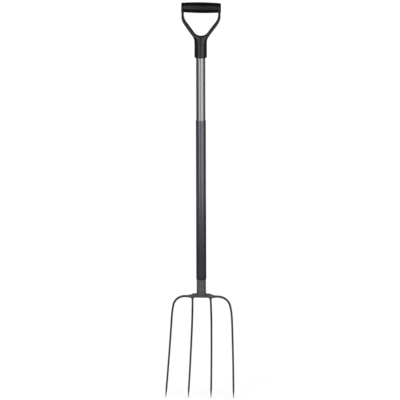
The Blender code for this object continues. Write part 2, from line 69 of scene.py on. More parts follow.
def dish(z):
    # distance in front of the shaft's axis at a height: an arc that leans back, then a long one that leans
    # forward, each its radius times a difference of cosines
    drop = head["height"] + head["dishRise"] - np.asarray(z, float)
    split = head["rootRadius"] * (math.sin(head["rootAngle"]) + math.sin(head["midAngle"]))
    near = np.arcsin(np.clip(drop / head["rootRadius"] - math.sin(head["rootAngle"]), -1.0, 1.0))
    far = np.arcsin(np.clip((drop - split) / head["tipRadius"] + math.sin(head["midAngle"]), -1.0, 1.0))
    upper = head["rootRadius"] * (math.cos(head["rootAngle"]) - np.cos(near))
    reach = head["rootRadius"] * (math.cos(head["rootAngle"]) - math.cos(head["midAngle"]))
    lower = reach + head["tipRadius"] * (math.cos(head["midAngle"]) - np.cos(far))
    return -head["dishBack"] + np.where(drop <= split, upper, lower)


grip = dict(
    rise=0.1066,                   # crossbar's axis above the top of the shaft tube
    back=0.0180,                   # and behind the shaft's axis
    halfWidth=0.0595,              # half the crossbar, over its eyes
    midRadius=0.0165,              # barrel in its middle
    endRadius=0.0148,              # and at its ends
    endRound=0.0010,               # rounding of its rims
    eyeWidth=0.0072, eyeRadius=0.0146, coreRadius=0.0090,
    seamHeight=0.00010,            # mould line along the barrel
    seamWidth=0.035,               # in radians
    rows=180, sides=128,
)
# y of the shaft's axis, which centres the tool from the tine points to the back of the grip
toolY = float((dish(0.0) + head["pointRadius"] - grip["back"] - grip["midRadius"]) / 2)
crownY = toolY - float(dish(head["height"]))


def ease(share):
    # smooth rise from 0 to 1: three times the square less twice the cube
    share = np.clip(share, 0.0, 1.0)
    return share * share * (3.0 - 2.0 * share)


# Mesh helpers, every one on whole arrays

def meshFrom(name, points, quads, tris=None):
    # points (n, 3), quads (m, 4) and tris (k, 3) into a smooth-shaded object that stands at the origin
    quads = np.asarray(quads, np.int32).reshape(-1, 4)
    tris = np.zeros((0, 3), np.int32) if tris is None else np.asarray(tris, np.int32).reshape(-1, 3)
    mesh = bpy.data.meshes.new(name)
    mesh.vertices.add(len(points))
    mesh.vertices.foreach_set("co", np.asarray(points, np.float32).ravel())
    loops = np.concatenate((quads.ravel(), tris.ravel()))
    mesh.loops.add(len(loops))
    mesh.loops.foreach_set("vertex_index", loops)
    starts = np.concatenate((np.arange(len(quads)) * 4, len(quads) * 4 + np.arange(len(tris)) * 3))
    mesh.polygons.add(len(starts))
    mesh.polygons.foreach_set("loop_start", starts.astype(np.int32))
    mesh.update(calc_edges=True)
    mesh.validate()
    mesh.shade_smooth()
    made = bpy.data.objects.new(name, mesh)
    bpy.context.scene.collection.objects.link(made)
    return made


def gridFaces(rows, columns, closedRows=False):
    # quads of a grid whose columns run round; closedRows also joins the last row to the first
    lastRow = rows if closedRows else rows - 1
    i, j = np.meshgrid(np.arange(lastRow), np.arange(columns), indexing="ij")
    nextI, nextJ = (i + 1) % rows, (j + 1) % columns
    return np.stack((i * columns + j, i * columns + nextJ, nextI * columns + nextJ, nextI * columns + j), -1)


def fan(ring, middle):
    # triangles from each edge of a closed ring of points to the point in its middle
    return np.stack((ring, np.roll(ring, -1), np.full(len(ring), middle)), -1)


def fullTurn(sides):
    # angles of one turn, evenly spaced
    return np.linspace(0.0, 2 * math.pi, sides, endpoint=False)


def turnedRing(profile, sides, axis="z", centre=(0.0, 0.0, 0.0)):
    # closed profile of (radius, height) turned round an axis:
    # point = centre + radius * (cos, sin) + height * axis
    profile = np.asarray(profile, float)
    angle = fullTurn(sides)
    radius, height = profile[:, :1], profile[:, 1:]
    a, b, c = radius * np.cos(angle), radius * np.sin(angle), height + 0.0 * angle
    points = np.stack((a, b, c) if axis == "z" else (c, a, b), -1)
    return points.reshape(-1, 3) + np.asarray(centre), gridFaces(len(profile), sides, True)


def rounded(points, radius, steps=4):
    # closed profile with each corner cut back and filled with a quadratic curve, on which the start, the
    # corner and the end weigh (1 - t) squared, 2 t (1 - t) and t squared
    mostOfEdge = 0.45
    points = np.asarray(points, float)
    back, ahead = np.roll(points, 1, 0) - points, np.roll(points, -1, 0) - points
    lengthBack, lengthAhead = np.linalg.norm(back, axis=1), np.linalg.norm(ahead, axis=1)
    trim = np.minimum(np.minimum(radius, lengthBack * mostOfEdge), lengthAhead * mostOfEdge)
    start = points + back / lengthBack[:, None] * trim[:, None]
    end = points + ahead / lengthAhead[:, None] * trim[:, None]
    t = np.linspace(0.0, 1.0, steps + 1)[None, :, None]
    curve = (1 - t) ** 2 * start[:, None] + 2 * t * (1 - t) * points[:, None] + t ** 2 * end[:, None]
    return curve.reshape(-1, 2)


def refined(points, spacing):
    # closed profile with extra points, evenly on each edge, so that no two neighbours are further apart
    # than spacing
    points = np.asarray(points, float)
    ends = np.roll(points, -1, 0)
    counts = np.maximum(1, np.ceil(np.linalg.norm(ends - points, axis=1) / spacing).astype(int))
    owner = np.repeat(np.arange(len(points)), counts)
    first = np.concatenate(([0], np.cumsum(counts)[:-1]))
    share = (np.arange(len(owner)) - first[owner]) / counts[owner]
    return points[owner] + (ends - points)[owner] * share[:, None]


def skinOf(name, field, low, high, step):
    # closed skin of field(x, y, z) = 0, negative inside: one point in each grid cell that the surface
    # crosses, joined across the grid's edges, then slid along the gradient onto the surface
    columnsAtOnce = 8              # the field is worked out a few columns at a time, to spare memory
    nearby = step * 0.08           # a slope is taken over this distance to both sides
    flattest = 0.15                # least squared slope that a move divides by
    longestMove = step * 0.6
    settleRounds, lastRounds, relax = 3, 2, 0.5
    axes = [np.arange(a, b + step, step) for a, b in zip(low, high)]
    slabs = np.array_split(axes[0], max(1, len(axes[0]) // columnsAtOnce))
    values = np.concatenate([field(part[:, None, None], axes[1][None, :, None], axes[2][None, None, :])
                             for part in slabs])
    inside = values < 0.0
    cells = [slice(None, -1), slice(1, None)]
    corners = sum(inside[a, b, c].astype(np.int8) for a in cells for b in cells for c in cells)
    crossed = (corners > 0) & (corners < 8)
    index = np.full(crossed.shape, -1, np.int64)
    index[crossed] = np.arange(int(crossed.sum()))
    where = np.argwhere(crossed)
    points = np.stack([axes[k][0] + (where[:, k] + 0.5) * step for k in range(3)], -1)
    # one quad round each grid edge whose ends lie on different sides of the surface
    quads = []
    for k in range(3):
        lower = np.take(inside, np.arange(inside.shape[k] - 1), k)
        upper = np.take(inside, np.arange(1, inside.shape[k]), k)
        edges = np.argwhere(lower != upper)
        others = [n for n in range(3) if n != k]
        keep = np.all([(edges[:, n] > 0) & (edges[:, n] < inside.shape[n] - 1) for n in others], axis=0)
        edges = edges[keep]
        shiftA, shiftB = np.zeros(3, int), np.zeros(3, int)
        shiftA[others[0]], shiftB[others[1]] = 1, 1
        ring = [index[tuple((edges - s).T)] for s in (shiftA + shiftB, shiftB, 0 * shiftA, shiftA)]
        ring = np.stack(ring, -1)
        flip = lower[tuple(edges.T)] == (k == 1)
        ring[flip] = ring[flip][:, ::-1]
        quads.append(ring)
    quads = np.concatenate(quads)

    def slopeAt(points):
        # the field's difference along each axis, over the distance between the two places
        return np.stack([field(*(points + nearby * unit).T) - field(*(points - nearby * unit).T)
                         for unit in np.eye(3)], -1) / (2 * nearby)

    def ontoSkin(points):
        # each point less its value times the slope over the slope's square
        value, slope = field(*points.T), slopeAt(points)
        move = value[:, None] * slope / np.maximum((slope ** 2).sum(1), flattest)[:, None]
        far = np.linalg.norm(move, axis=1, keepdims=True)
        return points - move * np.minimum(1.0, longestMove / np.maximum(far, tiny))

    # each round puts points on the skin, then moves them half way to the middle of their neighbours
    a, b = quads.ravel(), np.roll(quads, -1, 1).ravel()
    near = np.maximum(np.bincount(a, minlength=len(points)), 1)[:, None]
    for _ in range(settleRounds):
        points = ontoSkin(points)
        middle = np.stack([np.bincount(a, points[b, k], len(points)) for k in range(3)], -1) / near
        points = points + relax * (middle - points)
    for _ in range(lastRounds):
        points = ontoSkin(points)
    made = meshFrom(name, points, quads)
    slope = slopeAt(points)
    slope /= np.maximum(np.linalg.norm(slope, axis=1), tiny)[:, None]
    if len(made.data.vertices) == len(points):
        made.data.normals_split_custom_set_from_vertices(slope.tolist())
    return made


def blended(a, b, reach):
    # smooth least of two fields, which merge in a fillet about reach wide: their mix by a share that goes
    # from 0 to 1 over reach, less reach times share times one minus share
    share = np.clip(0.5 + 0.5 * (b - a) / reach, 0.0, 1.0)
    return b + (a - b) * share - reach * share * (1.0 - share)


def cut(a, b, reach):
    # field a with field b taken away, its rim rounded: minus the smooth least of minus a and b
    return -blended(-a, b, reach)


def ovalGap(u, v, rho, half):
    # roughly the distance to an oval that lies where rho is 1, when rho grows evenly from its middle: the
    # distance from the middle, times one less one over rho; half stands for it in the middle itself
    nearMiddle = 1e-6
    gap = np.hypot(u, v) * (1 - 1 / np.maximum(rho, nearMiddle))
    return np.where(rho > nearMiddle, gap, -half)


def squaredGap(path, x, z):
    # squared distance from (x, z) to a polyline: the foot of the perpendicular is held to each of its
    # stretches, and the least of the squares is taken
    start = path[:-1]
    stretch = path[1:] - start
    length = np.linalg.norm(stretch, axis=1)
    fromX, fromZ = x[..., None] - start[:, 0], z[..., None] - start[:, 1]
    share = np.clip((fromX * stretch[:, 0] + fromZ * stretch[:, 1]) / length ** 2, 0.0, 1.0)
    return ((fromX - share * stretch[:, 0]) ** 2 + (fromZ - share * stretch[:, 1]) ** 2).min(-1)


def arcPoints(centre, radius, start, end, steps):
    # centre + radius * (cos, sin) of evenly spaced angles
    angle = np.linspace(start, end, steps + 1)
    return np.stack((centre[0] + radius * np.cos(angle), centre[1] + radius * np.sin(angle)), -1)


# Shader maths, written as expressions on sockets

class Wire:
    # one value socket; + - and * on it add Math nodes to the tree that its owner fills

    def __init__(self, owner, socket):
        self.owner, self.socket = owner, socket

    def maths(self, operation, a, b, **settings):
        made = self.owner.node("ShaderNodeMath", {"operation": operation, **settings}, a, b)
        return Wire(self.owner, made.outputs[0])

    def __add__(self, other):
        return self.maths("ADD", self, other)

    def __radd__(self, other):
        return self.maths("ADD", other, self)

    def __sub__(self, other):
        return self.maths("SUBTRACT", self, other)

    def __rsub__(self, other):
        return self.maths("SUBTRACT", other, self)

    def __mul__(self, other):
        return self.maths("MULTIPLY", self, other)

    def __rmul__(self, other):
        return self.maths("MULTIPLY", other, self)

    def clip(self):
        # held between 0 and 1
        return self.maths("ADD", self, 0.0, use_clamp=True)

    def contrast(self, gain):
        # stretched by gain about one half, held between 0 and 1
        return (self * gain - (gain - 1) / 2).clip()

    def step(self, low, high):
        # 0 below low, 1 above high, smooth between
        made = self.owner.node("ShaderNodeMapRange", {"interpolation_type": "SMOOTHSTEP"}, Value=self,
                               From_Min=low, From_Max=high)
        return Wire(self.owner, made.outputs[0])


class Nodes:
    # a node tree being filled

    def __init__(self, tree):
        self.tree = tree

    def node(self, kind, settings=None, *values, **sockets):
        # settings first, then values for the first sockets in turn, then sockets by name, with _ for a space
        made = self.tree.nodes.new(kind)
        for key, value in (settings or {}).items():
            setattr(made, key, value)
        for slot, value in zip(made.inputs, values):
            self.feed(slot, value)
        for key, value in sockets.items():
            self.feed(made.inputs[key.replace("_", " ")], value)
        return made

    def feed(self, slot, value):
        # a Wire or a socket is linked, anything else is the slot's own value
        if isinstance(value, Wire):
            self.tree.links.new(value.socket, slot)
        elif isinstance(value, bpy.types.NodeSocket):
            self.tree.links.new(value, slot)
        else:
            slot.default_value = value

    def seen(self):
        # 1 for the rays that show what lies behind the tool: the camera's, and those in gloss and glass
        ray = self.node("ShaderNodeLightPath")
        seen = Wire(self, ray.outputs["Is Camera Ray"]) + Wire(self, ray.outputs["Is Glossy Ray"])
        return (seen + Wire(self, ray.outputs["Is Transmission Ray"])).clip()


class Finish(Nodes):
    # a material being made, with the patterns that the finishes share

    def __init__(self, name):
        self.material = bpy.data.materials.new(name)
        self.material.use_nodes = True
        super().__init__(self.material.node_tree)
        self.shader = self.tree.nodes["Principled BSDF"]
        self.place = self.node("ShaderNodeTexCoord").outputs["Object"]

    def noise(self, size, detail=4.0, rough=0.55, warp=0.0, along=None):
        # fractal noise whose features are about size metres wide; along is the share of its scale that is
        # kept in Z, which draws the features out along the tool
        place = self.place
        if along is not None:
            place = self.node("ShaderNodeMapping", Vector=place, Scale=(1.0, 1.0, along)).outputs[0]
        made = self.node("ShaderNodeTexNoise", Vector=place, Scale=1.0 / size, Detail=detail,
                         Roughness=rough, Distortion=warp)
        return Wire(self, made.outputs["Fac"])

    def cells(self, size, feature="F1"):
        # distance to the nearest of scattered points about size metres apart
        made = self.node("ShaderNodeTexVoronoi", {"feature": feature}, Vector=self.place, Scale=1.0 / size)
        return Wire(self, made.outputs["Distance"])

    def axis(self, which):
        # one coordinate of the place on the tool, in metres
        made = self.node("ShaderNodeSeparateXYZ", Vector=self.place)
        return Wire(self, made.outputs[which])

    def mix(self, factor, a, b):
        # colours a to b by factor
        made = self.node("ShaderNodeMix", {"data_type": "RGBA"})
        for slot, value in zip((made.inputs[0], made.inputs[6], made.inputs[7]), (factor, a, b)):
            self.feed(slot, (*value, 1.0) if isinstance(value, tuple) else value)
        return made.outputs[2]

    def bumps(self, *layers):
        # each layer is (height, depth in metres); they are stacked
        normal = None
        for height, depth in layers:
            made = self.node("ShaderNodeBump", Height=height, Distance=depth, Strength=1.0)
            if normal is not None:
                self.feed(made.inputs["Normal"], normal)
            normal = made.outputs["Normal"]
        self.feed(self.shader.inputs["Normal"], normal)

    def done(self, colour, roughness, metallic=0.0, **constants):
        # what varies, then the shader's own constants, with _ for a space
        self.feed(self.shader.inputs["Base Color"], colour)
        self.feed(self.shader.inputs["Roughness"], roughness)
        self.feed(self.shader.inputs["Metallic"], metallic)
        for key, value in constants.items():
            self.shader.inputs[key.replace("_", " ")].default_value = value
        return self.material


def dress(piece, finish, slot, *nodes):
    # a finished piece: material, body and the CAD nodes that it stands for; slot is not used
    if not piece.material_slots:
        piece.data.materials.append(finish)
    for place in piece.material_slots:
        place.material = finish
    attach(piece, "root")
    if nodes:
        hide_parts(*nodes)
    return piece


# Finishes, each with its own dictionary of what a user would change: colours and the shares in which they
# are mixed in, what each pattern adds to the roughness (Rough), the height of its relief in metres (Depth),
# between which of its values it shows (Shows), and the arguments of its noise

def tubeAluminium():
    # drawn tube, satin anodised: fine drawing lines along it, cloudy sheen, a few handling scuffs
    look = dict(
        bright=(0.61, 0.61, 0.62), dull=(0.515, 0.515, 0.528), scuffed=(0.66, 0.66, 0.66), scuffShare=0.6,
        lineTone=0.55, cloudTone=0.6, toneLess=0.1,
        roughness=0.20, lineRough=0.06, cloudRough=0.06, scuffRough=0.1,
        lineDepth=0.000005, scuffDepth=-0.00002,
        lines=dict(size=0.0006, detail=3.0, rough=0.6, along=0.012),
        clouds=dict(size=0.035, detail=3.0, rough=0.5, along=0.35),
        scuffs=dict(size=0.004, detail=2.0, rough=0.5, along=0.25), scuffShows=(0.68, 0.72),
        places=dict(size=0.05), placeShows=(0.5, 0.62),       # where there are scuffs at all
    )
    f = Finish("satinAluminium")
    lines, clouds = f.noise(**look["lines"]), f.noise(**look["clouds"])
    scuffs = f.noise(**look["scuffs"]).step(*look["scuffShows"])
    scuffs = scuffs * f.noise(**look["places"]).step(*look["placeShows"])
    tone = (look["lineTone"] * lines + look["cloudTone"] * clouds - look["toneLess"]).clip()
    colour = f.mix(tone, look["dull"], look["bright"])
    colour = f.mix(scuffs * look["scuffShare"], colour, look["scuffed"])
    f.bumps((lines, look["lineDepth"]), (scuffs, look["scuffDepth"]))
    rough = look["roughness"] + look["cloudRough"] * clouds + look["lineRough"] * lines
    return f.done(colour, rough + look["scuffRough"] * scuffs, 1.0)


def sleevePlastic():
    # extruded sleeve: blue-grey satin with faint die lines along it, a leathery micro grain and pale scuffs
    look = dict(
        base=(0.222, 0.225, 0.257), deep=(0.190, 0.193, 0.223), scuffed=(0.31, 0.31, 0.33), scuffShare=0.35,
        cloudTone=0.75, dieTone=0.35, toneLess=0.05,
        metallic=0.9, roughness=0.16, grainRough=0.04, cloudRough=0.06, scuffRough=0.08,
        dieDepth=0.00002, grainDepth=0.000004, scuffDepth=-0.00002,
        grain=dict(size=0.00045, detail=2.0, rough=0.5),
        dieLines=dict(size=0.0009, detail=2.0, rough=0.5, along=0.006),
        clouds=dict(size=0.045),
        scuffs=dict(size=0.0022, detail=3.0, rough=0.6, along=0.2), scuffShows=(0.64, 0.74),
        places=dict(size=0.06, detail=2.0), placeShows=(0.48, 0.66),      # where there are scuffs at all
    )
    f = Finish("sleevePlastic")
    grain, dieLines = f.noise(**look["grain"]), f.noise(**look["dieLines"])
    clouds = f.noise(**look["clouds"])
    scuffs = f.noise(**look["scuffs"]).step(*look["scuffShows"])
    scuffs = scuffs * f.noise(**look["places"]).step(*look["placeShows"])
    tone = (look["cloudTone"] * clouds + look["dieTone"] * dieLines - look["toneLess"]).clip()
    colour = f.mix(tone, look["deep"], look["base"])
    colour = f.mix(scuffs * look["scuffShare"], colour, look["scuffed"])
    f.bumps((dieLines, look["dieDepth"]), (grain, look["grainDepth"]), (scuffs, look["scuffDepth"]))
    rough = look["roughness"] + look["grainRough"] * grain + look["cloudRough"] * clouds
    return f.done(colour, rough + look["scuffRough"] * scuffs, look["metallic"])


def mouldedBlack():
    # glass-filled moulding: spark-eroded texture, dull patches where hands rub, greyer on worn high spots
    look = dict(
        base=(0.0024, 0.0024, 0.0025), pale=(0.0050, 0.0050, 0.0052), worn=(0.022, 0.021, 0.020),
        wornShare=0.25, specular=0.8, roughness=0.19, flowRough=0.06, fineRough=0.04,
        sparkWidth=0.00075, sparkDepth=0.00003, fineDepth=0.00002,
        fine=dict(size=0.0004, detail=2.0, rough=0.6),
        flow=dict(size=0.018, rough=0.6, warp=0.6),
        wear=dict(size=0.007, rough=0.6), wearShows=(0.60, 0.78),
    )
    f = Finish("mouldedBlack")
    spark = f.cells(look["sparkWidth"])
    fine, flow = f.noise(**look["fine"]), f.noise(**look["flow"])
    wear = f.noise(**look["wear"]).step(*look["wearShows"])
    colour = f.mix(flow, look["base"], look["pale"])
    colour = f.mix(wear * look["wornShare"], colour, look["worn"])
    f.bumps((spark, look["sparkDepth"]), (fine, look["fineDepth"]))
    rough = look["roughness"] + look["flowRough"] * flow + look["fineRough"] * fine
    return f.done(colour, rough, Specular_IOR_Level=look["specular"])


def softGrip():
    # soft overmoulding: dense pebble grain, slightly polished towards the middle of the bar, by one less the
    # square of the share of the way to where the polish ends
    look = dict(
        base=(0.0022, 0.0022, 0.0023), pale=(0.0042, 0.0042, 0.0044),
        specular=0.7, roughness=0.25, cloudRough=0.08, polishRough=-0.06,
        polishHalf=1 / 30,                       # metres from the middle to where the polish ends
        pebbleWidth=0.0011, pebbleDepth=0.00012, fineDepth=0.00003,
        fine=dict(size=0.0005, detail=2.0, rough=0.5),
        clouds=dict(size=0.014, rough=0.6),
    )
    f = Finish("softGrip")
    pebble = f.cells(look["pebbleWidth"], "SMOOTH_F1")
    fine, clouds = f.noise(**look["fine"]), f.noise(**look["clouds"])
    across = f.axis("X")
    polish = (1.0 - across * across * look["polishHalf"] ** -2).clip()
    f.bumps((pebble, look["pebbleDepth"]), (fine, look["fineDepth"]))
    rough = look["roughness"] + look["cloudRough"] * clouds + look["polishRough"] * polish
    return f.done(f.mix(clouds, look["base"], look["pale"]), rough, Specular_IOR_Level=look["specular"])


def forgedSteel():
    # forging under a thin brownish coat: scale pits, hammer dapples, bare steel rubbed through in specks;
    # the tines' coat reaches over the rod roots at both ends
    look = dict(
        coat=(0.086, 0.077, 0.078), light=(0.130, 0.118, 0.119), contrast=1.5,
        rust=(0.104, 0.072, 0.060), rustShare=0.45, rustShows=(0.58, 0.72),
        coated=(0.062, 0.058, 0.059), coatedShare=0.8, coatedFrom=0.034, coatedTo=0.047,
        coatedUneven=0.0003,                     # square metres by which the blotches shift its edge
        bare=(0.26, 0.255, 0.25), bareShare=0.30, bareShows=(0.60, 0.68),
        speckPart=0.7, dapplePart=0.3,           # what the bare specks follow
        roughness=0.48, fineRough=0.14, bareRough=-0.14, metallic=0.35, bareMetallic=0.4,
        dappleDepth=0.00045, pitWidth=0.0016, pitDepth=0.00010, fineDepth=0.00006,
        dapples=dict(size=0.0055, detail=3.0, rough=0.5, warp=0.3),
        fine=dict(size=0.0006, rough=0.65),
        blotches=dict(size=0.012, detail=5.0, rough=0.62, warp=0.5),
        specks=dict(size=0.0016, rough=0.7),
    )
    f = Finish("forgedSteel")
    dapples, pits = f.noise(**look["dapples"]), f.cells(look["pitWidth"])
    fine, blotches = f.noise(**look["fine"]), f.noise(**look["blotches"])
    bare = f.noise(**look["specks"]) * look["speckPart"] + dapples * look["dapplePart"]
    bare = bare.step(*look["bareShows"])
    colour = f.mix(blotches.contrast(look["contrast"]), look["coat"], look["light"])
    colour = f.mix(blotches.step(*look["rustShows"]) * look["rustShare"], colour, look["rust"])
    across = f.axis("X")
    outward = across * across + look["coatedUneven"] * blotches
    ends = outward.step(look["coatedFrom"] ** 2, look["coatedTo"] ** 2)
    colour = f.mix(ends * look["coatedShare"], colour, look["coated"])
    colour = f.mix(bare * look["bareShare"], colour, look["bare"])
    f.bumps((dapples, look["dappleDepth"]), (pits, look["pitDepth"]), (fine, look["fineDepth"]))
    return f.done(colour, look["roughness"] + look["fineRough"] * fine + look["bareRough"] * bare,
                  (look["metallic"] + look["bareMetallic"] * bare).clip())


def tineSteel():
    # drawn and coated rods: lengthwise scratches, grey coat thinning towards the points, forging scale left
    # near the crown
    look = dict(
        coat=(0.039, 0.038, 0.039), light=(0.056, 0.0545, 0.0555), contrast=1.3,
        bare=(0.13, 0.13, 0.13), wearHigh=0.10, wearLow=0.20,       # share that is bare, and more low down
        wornFrom=0.075, wornTo=0.005,            # heights between which it grows
        scale=(0.078, 0.071, 0.072), scaleShare=0.8, scaleUneven=0.010,
        scaleFrom=0.052, scaleTo=0.010,          # below the tines' axis at the crown
        roughness=0.44, fineRough=0.12, wearRough=-0.12, metallic=0.35, wearMetallic=0.5,
        streakDepth=0.00003, fineDepth=0.00002, blotchDepth=0.00008,
        streaks=dict(size=0.0012, rough=0.6, along=0.06), streakShows=(0.62, 0.70),
        fine=dict(size=0.0005, detail=3.0, rough=0.6),
        blotches=dict(size=0.009, rough=0.6, along=0.5),
    )
    f = Finish("tineSteel")
    streaks, fine = f.noise(**look["streaks"]), f.noise(**look["fine"])
    blotches = f.noise(**look["blotches"])
    low = 1.0 - f.axis("Z").step(look["wornTo"], look["wornFrom"])
    wear = (streaks.step(*look["streakShows"]) * (look["wearHigh"] + look["wearLow"] * low)).clip()
    colour = f.mix(blotches.contrast(look["contrast"]), look["coat"], look["light"])
    upward = f.axis("Z") + look["scaleUneven"] * blotches
    heated = upward.step(head["height"] - look["scaleFrom"], head["height"] - look["scaleTo"])
    colour = f.mix(heated * look["scaleShare"], colour, look["scale"])
    colour = f.mix(wear, colour, look["bare"])
    f.bumps((streaks, look["streakDepth"]), (fine, look["fineDepth"]), (blotches, look["blotchDepth"]))
    return f.done(colour, look["roughness"] + look["fineRough"] * fine + look["wearRough"] * wear,
                  (look["metallic"] + look["wearMetallic"] * wear).clip())


def neckSteel():
    # tube under a graphite coat: orange-peel, speckle, weld heat tint just above the crown
    look = dict(
        coat=(0.168, 0.167, 0.165), light=(0.219, 0.218, 0.215), contrast=1.3,
        tint=(0.084, 0.072, 0.066), tintShare=0.75, tintUneven=0.004,
        tintFrom=0.3115, tintTo=0.3190,          # heights between which it fades
        roughness=0.34, cloudRough=0.10, speckRough=0.06, metallic=0.65,
        peelDepth=0.00006, speckWidth=0.0009, speckDepth=0.00003,
        peel=dict(size=0.0016, detail=2.0, rough=0.5),
        clouds=dict(size=0.011, rough=0.6),
    )
    f = Finish("neckSteel")
    peel, clouds = f.noise(**look["peel"]), f.noise(**look["clouds"])
    specks = f.cells(look["speckWidth"])
    upward = f.axis("Z") + look["tintUneven"] * clouds
    hot = (1.0 - upward.step(look["tintFrom"], look["tintTo"])).clip()
    colour = f.mix(clouds.contrast(look["contrast"]), look["coat"], look["light"])
    colour = f.mix(hot * look["tintShare"], colour, look["tint"])
    f.bumps((peel, look["peelDepth"]), (specks, look["speckDepth"]))
    return f.done(colour, look["roughness"] + look["cloudRough"] * clouds + look["speckRough"] * specks,
                  look["metallic"])


def zincSteel():
    # zinc plating: bright, with faint spangle
    look = dict(
        bright=(0.55, 0.55, 0.53), dull=(0.40, 0.40, 0.38), spangleTone=0.5, fineTone=0.6,
        roughness=0.30, fineRough=0.15, spangleWidth=0.0011, fineDepth=0.00002,
        fine=dict(size=0.0004, detail=3.0, rough=0.6),
    )
    f = Finish("zincSteel")
    spangle, fine = f.cells(look["spangleWidth"]), f.noise(**look["fine"])
    tone = (look["spangleTone"] * spangle + look["fineTone"] * fine).clip()
    f.bumps((fine, look["fineDepth"]))
    return f.done(f.mix(tone, look["dull"], look["bright"]),
                  look["roughness"] + look["fineRough"] * fine, 1.0)


finishes = dict(aluminium=tubeAluminium(), sleeve=sleevePlastic(), moulding=mouldedBlack(), soft=softGrip(),
                forged=forgedSteel(), tine=tineSteel(), neck=neckSteel(), zinc=zincSteel())
print("finishes made:", len(finishes))


# Tines: a round section carried along a centre line that lies on the dish

tine = dict(
    innerRoot=0.0030, outerRoot=0.0036,          # radius at the crown
    shankRadius=0.0030, shankAt=0.0900,          # radius this far along
    endRadius=0.0028, point=0.0260,              # radius where the point begins, and the point's length
    pointCurve=1.35,                             # 1 is a straight cone
    buried=0.0060,                               # stretch of the rod inside the crown
    unevenness=0.010,                            # of the radius, as a share
    waves=(95.0, 151.0, 233.0, 310.0, 67.0, 402.0),     # in radians a metre
    rows=260, pointRows=40, sides=28, smoothing=3,
    innerSteps=400, runSteps=11, shoulderSteps=60, bendSteps=30, straightSteps=199,
)


def onDish(x, z):
    # points (x, z) of the front view, each as far in front of the shaft's axis as the dish is there
    return np.stack((x, toolY - dish(z), z), -1)


def innerLine():
    # straight in front view, further out in proportion to the drop
    root = head["height"] - head["innerDrop"]
    z = np.linspace(root + tine["buried"], 0.0, tine["innerSteps"])
    return onDish(head["innerHalf"] + (root - z) * math.tan(head["innerSplay"]), z)


def outerLine():
    # straight beside the crown, an arc round the shoulder, a slower arc, then straight to the point
    start = head["crownHalf"] + fit
    bendX = start + head["run"]
    turnEnd = math.pi / 2 - head["turn"]
    centreZ = head["height"] - head["shoulder"]
    runX = np.linspace(start - tine["buried"], bendX, tine["runSteps"] + 1)[:-1]
    level = np.stack((runX, np.full(tine["runSteps"], head["height"])), -1)
    shoulder = arcPoints((bendX, centreZ), head["shoulder"], math.pi / 2, turnEnd, tine["shoulderSteps"])
    reach = head["shoulder"] - head["slowBend"]
    centre = (bendX + reach * math.cos(turnEnd), centreZ + reach * math.sin(turnEnd))
    slow = arcPoints(centre, head["slowBend"], turnEnd, head["splay"], tine["bendSteps"])[1:]
    x, z = slow[-1]
    down = np.linspace(z, 0.0, tine["straightSteps"] + 1)[1:]
    straight = np.stack((x + (z - down) * math.tan(head["splay"]), down), -1)
    line = np.concatenate((level, shoulder, slow, straight))
    return onDish(line[:, 0], line[:, 1])


def tinePiece(name, line, rootRadius, sign, seed, node):
    # rows evenly along the line and closer at the point; point = centre + radius * (cos side + sin front);
    # the radius tapers in two straight stretches, then by a power of the share of the point that is past
    run = np.concatenate(([0.0], np.cumsum(np.linalg.norm(np.diff(line, axis=0), axis=1))))
    length = run[-1]
    shank = np.linspace(0.0, length - tine["point"], tine["rows"])
    closer = 1 - ease(np.linspace(0.0, 1.0, tine["pointRows"])[1:])
    at = np.concatenate((shank, length - tine["point"] * closer))
    centre = np.stack([np.interp(at, run, line[:, k]) for k in range(3)], -1)
    for _ in range(tine["smoothing"]):
        centre[1:-1] = (centre[:-2] + 2 * centre[1:-1] + centre[2:]) / 4
    heading = np.gradient(centre, at, axis=0)
    heading /= np.linalg.norm(heading, axis=1)[:, None]
    radius = np.interp(at, [tine["buried"], tine["buried"] + tine["shankAt"], length - tine["point"]],
                       [rootRadius, tine["shankRadius"], tine["endRadius"]])
    share = np.clip((at - length + tine["point"]) / tine["point"], 0.0, 1.0)
    radius = radius - (tine["endRadius"] - head["pointRadius"]) * share ** tine["pointCurve"]
    count = len(tine["waves"])
    phases = np.random.default_rng(seed).uniform(0, 2 * math.pi, count)
    waves = sum(np.sin(at * wave + phase) for wave, phase in zip(tine["waves"], phases)) / count
    radius = radius * (1 + tine["unevenness"] * waves * (1 - share))
    side = np.cross(heading, (0.0, 1.0, 0.0))
    side /= np.linalg.norm(side, axis=1)[:, None]
    front = np.cross(side, heading)
    rows, sides = len(at), tine["sides"]
    angle = fullTurn(sides)
    ring = np.cos(angle)[None, :, None] * side[:, None] + np.sin(angle)[None, :, None] * front[:, None]
    grid = centre[:, None] + radius[:, None, None] * ring
    points = np.concatenate((grid.reshape(-1, 3), centre[:1], centre[-1:]))
    points[:, 0] *= sign
    quads = gridFaces(rows, sides).reshape(-1, 4)
    first = np.arange(sides)
    last = first + (rows - 1) * sides
    tris = np.concatenate((fan(first, rows * sides)[:, [1, 0, 2]], fan(last, rows * sides + 1)))
    if sign > 0:
        quads, tris = quads[:, ::-1], tris[:, ::-1]
    return dress(meshFrom(name, points, quads, tris), finishes["tine"], "coated_tine_steel", node)


for side, sign, seed in (("Left", -1.0, 3), ("Right", 1.0, 7)):
    lower = side.lower()
    tinePiece("innerTine" + side, innerLine(), tine["innerRoot"], sign, seed, "tine_inner_" + lower)
    tinePiece("outerTine" + side, outerLine(), tine["outerRoot"], sign, seed + 20, "tine_outer_" + lower)
print("tines made")


# Crown: one forging, the skin of bar, boss, flares and rod roots that merge in fillets

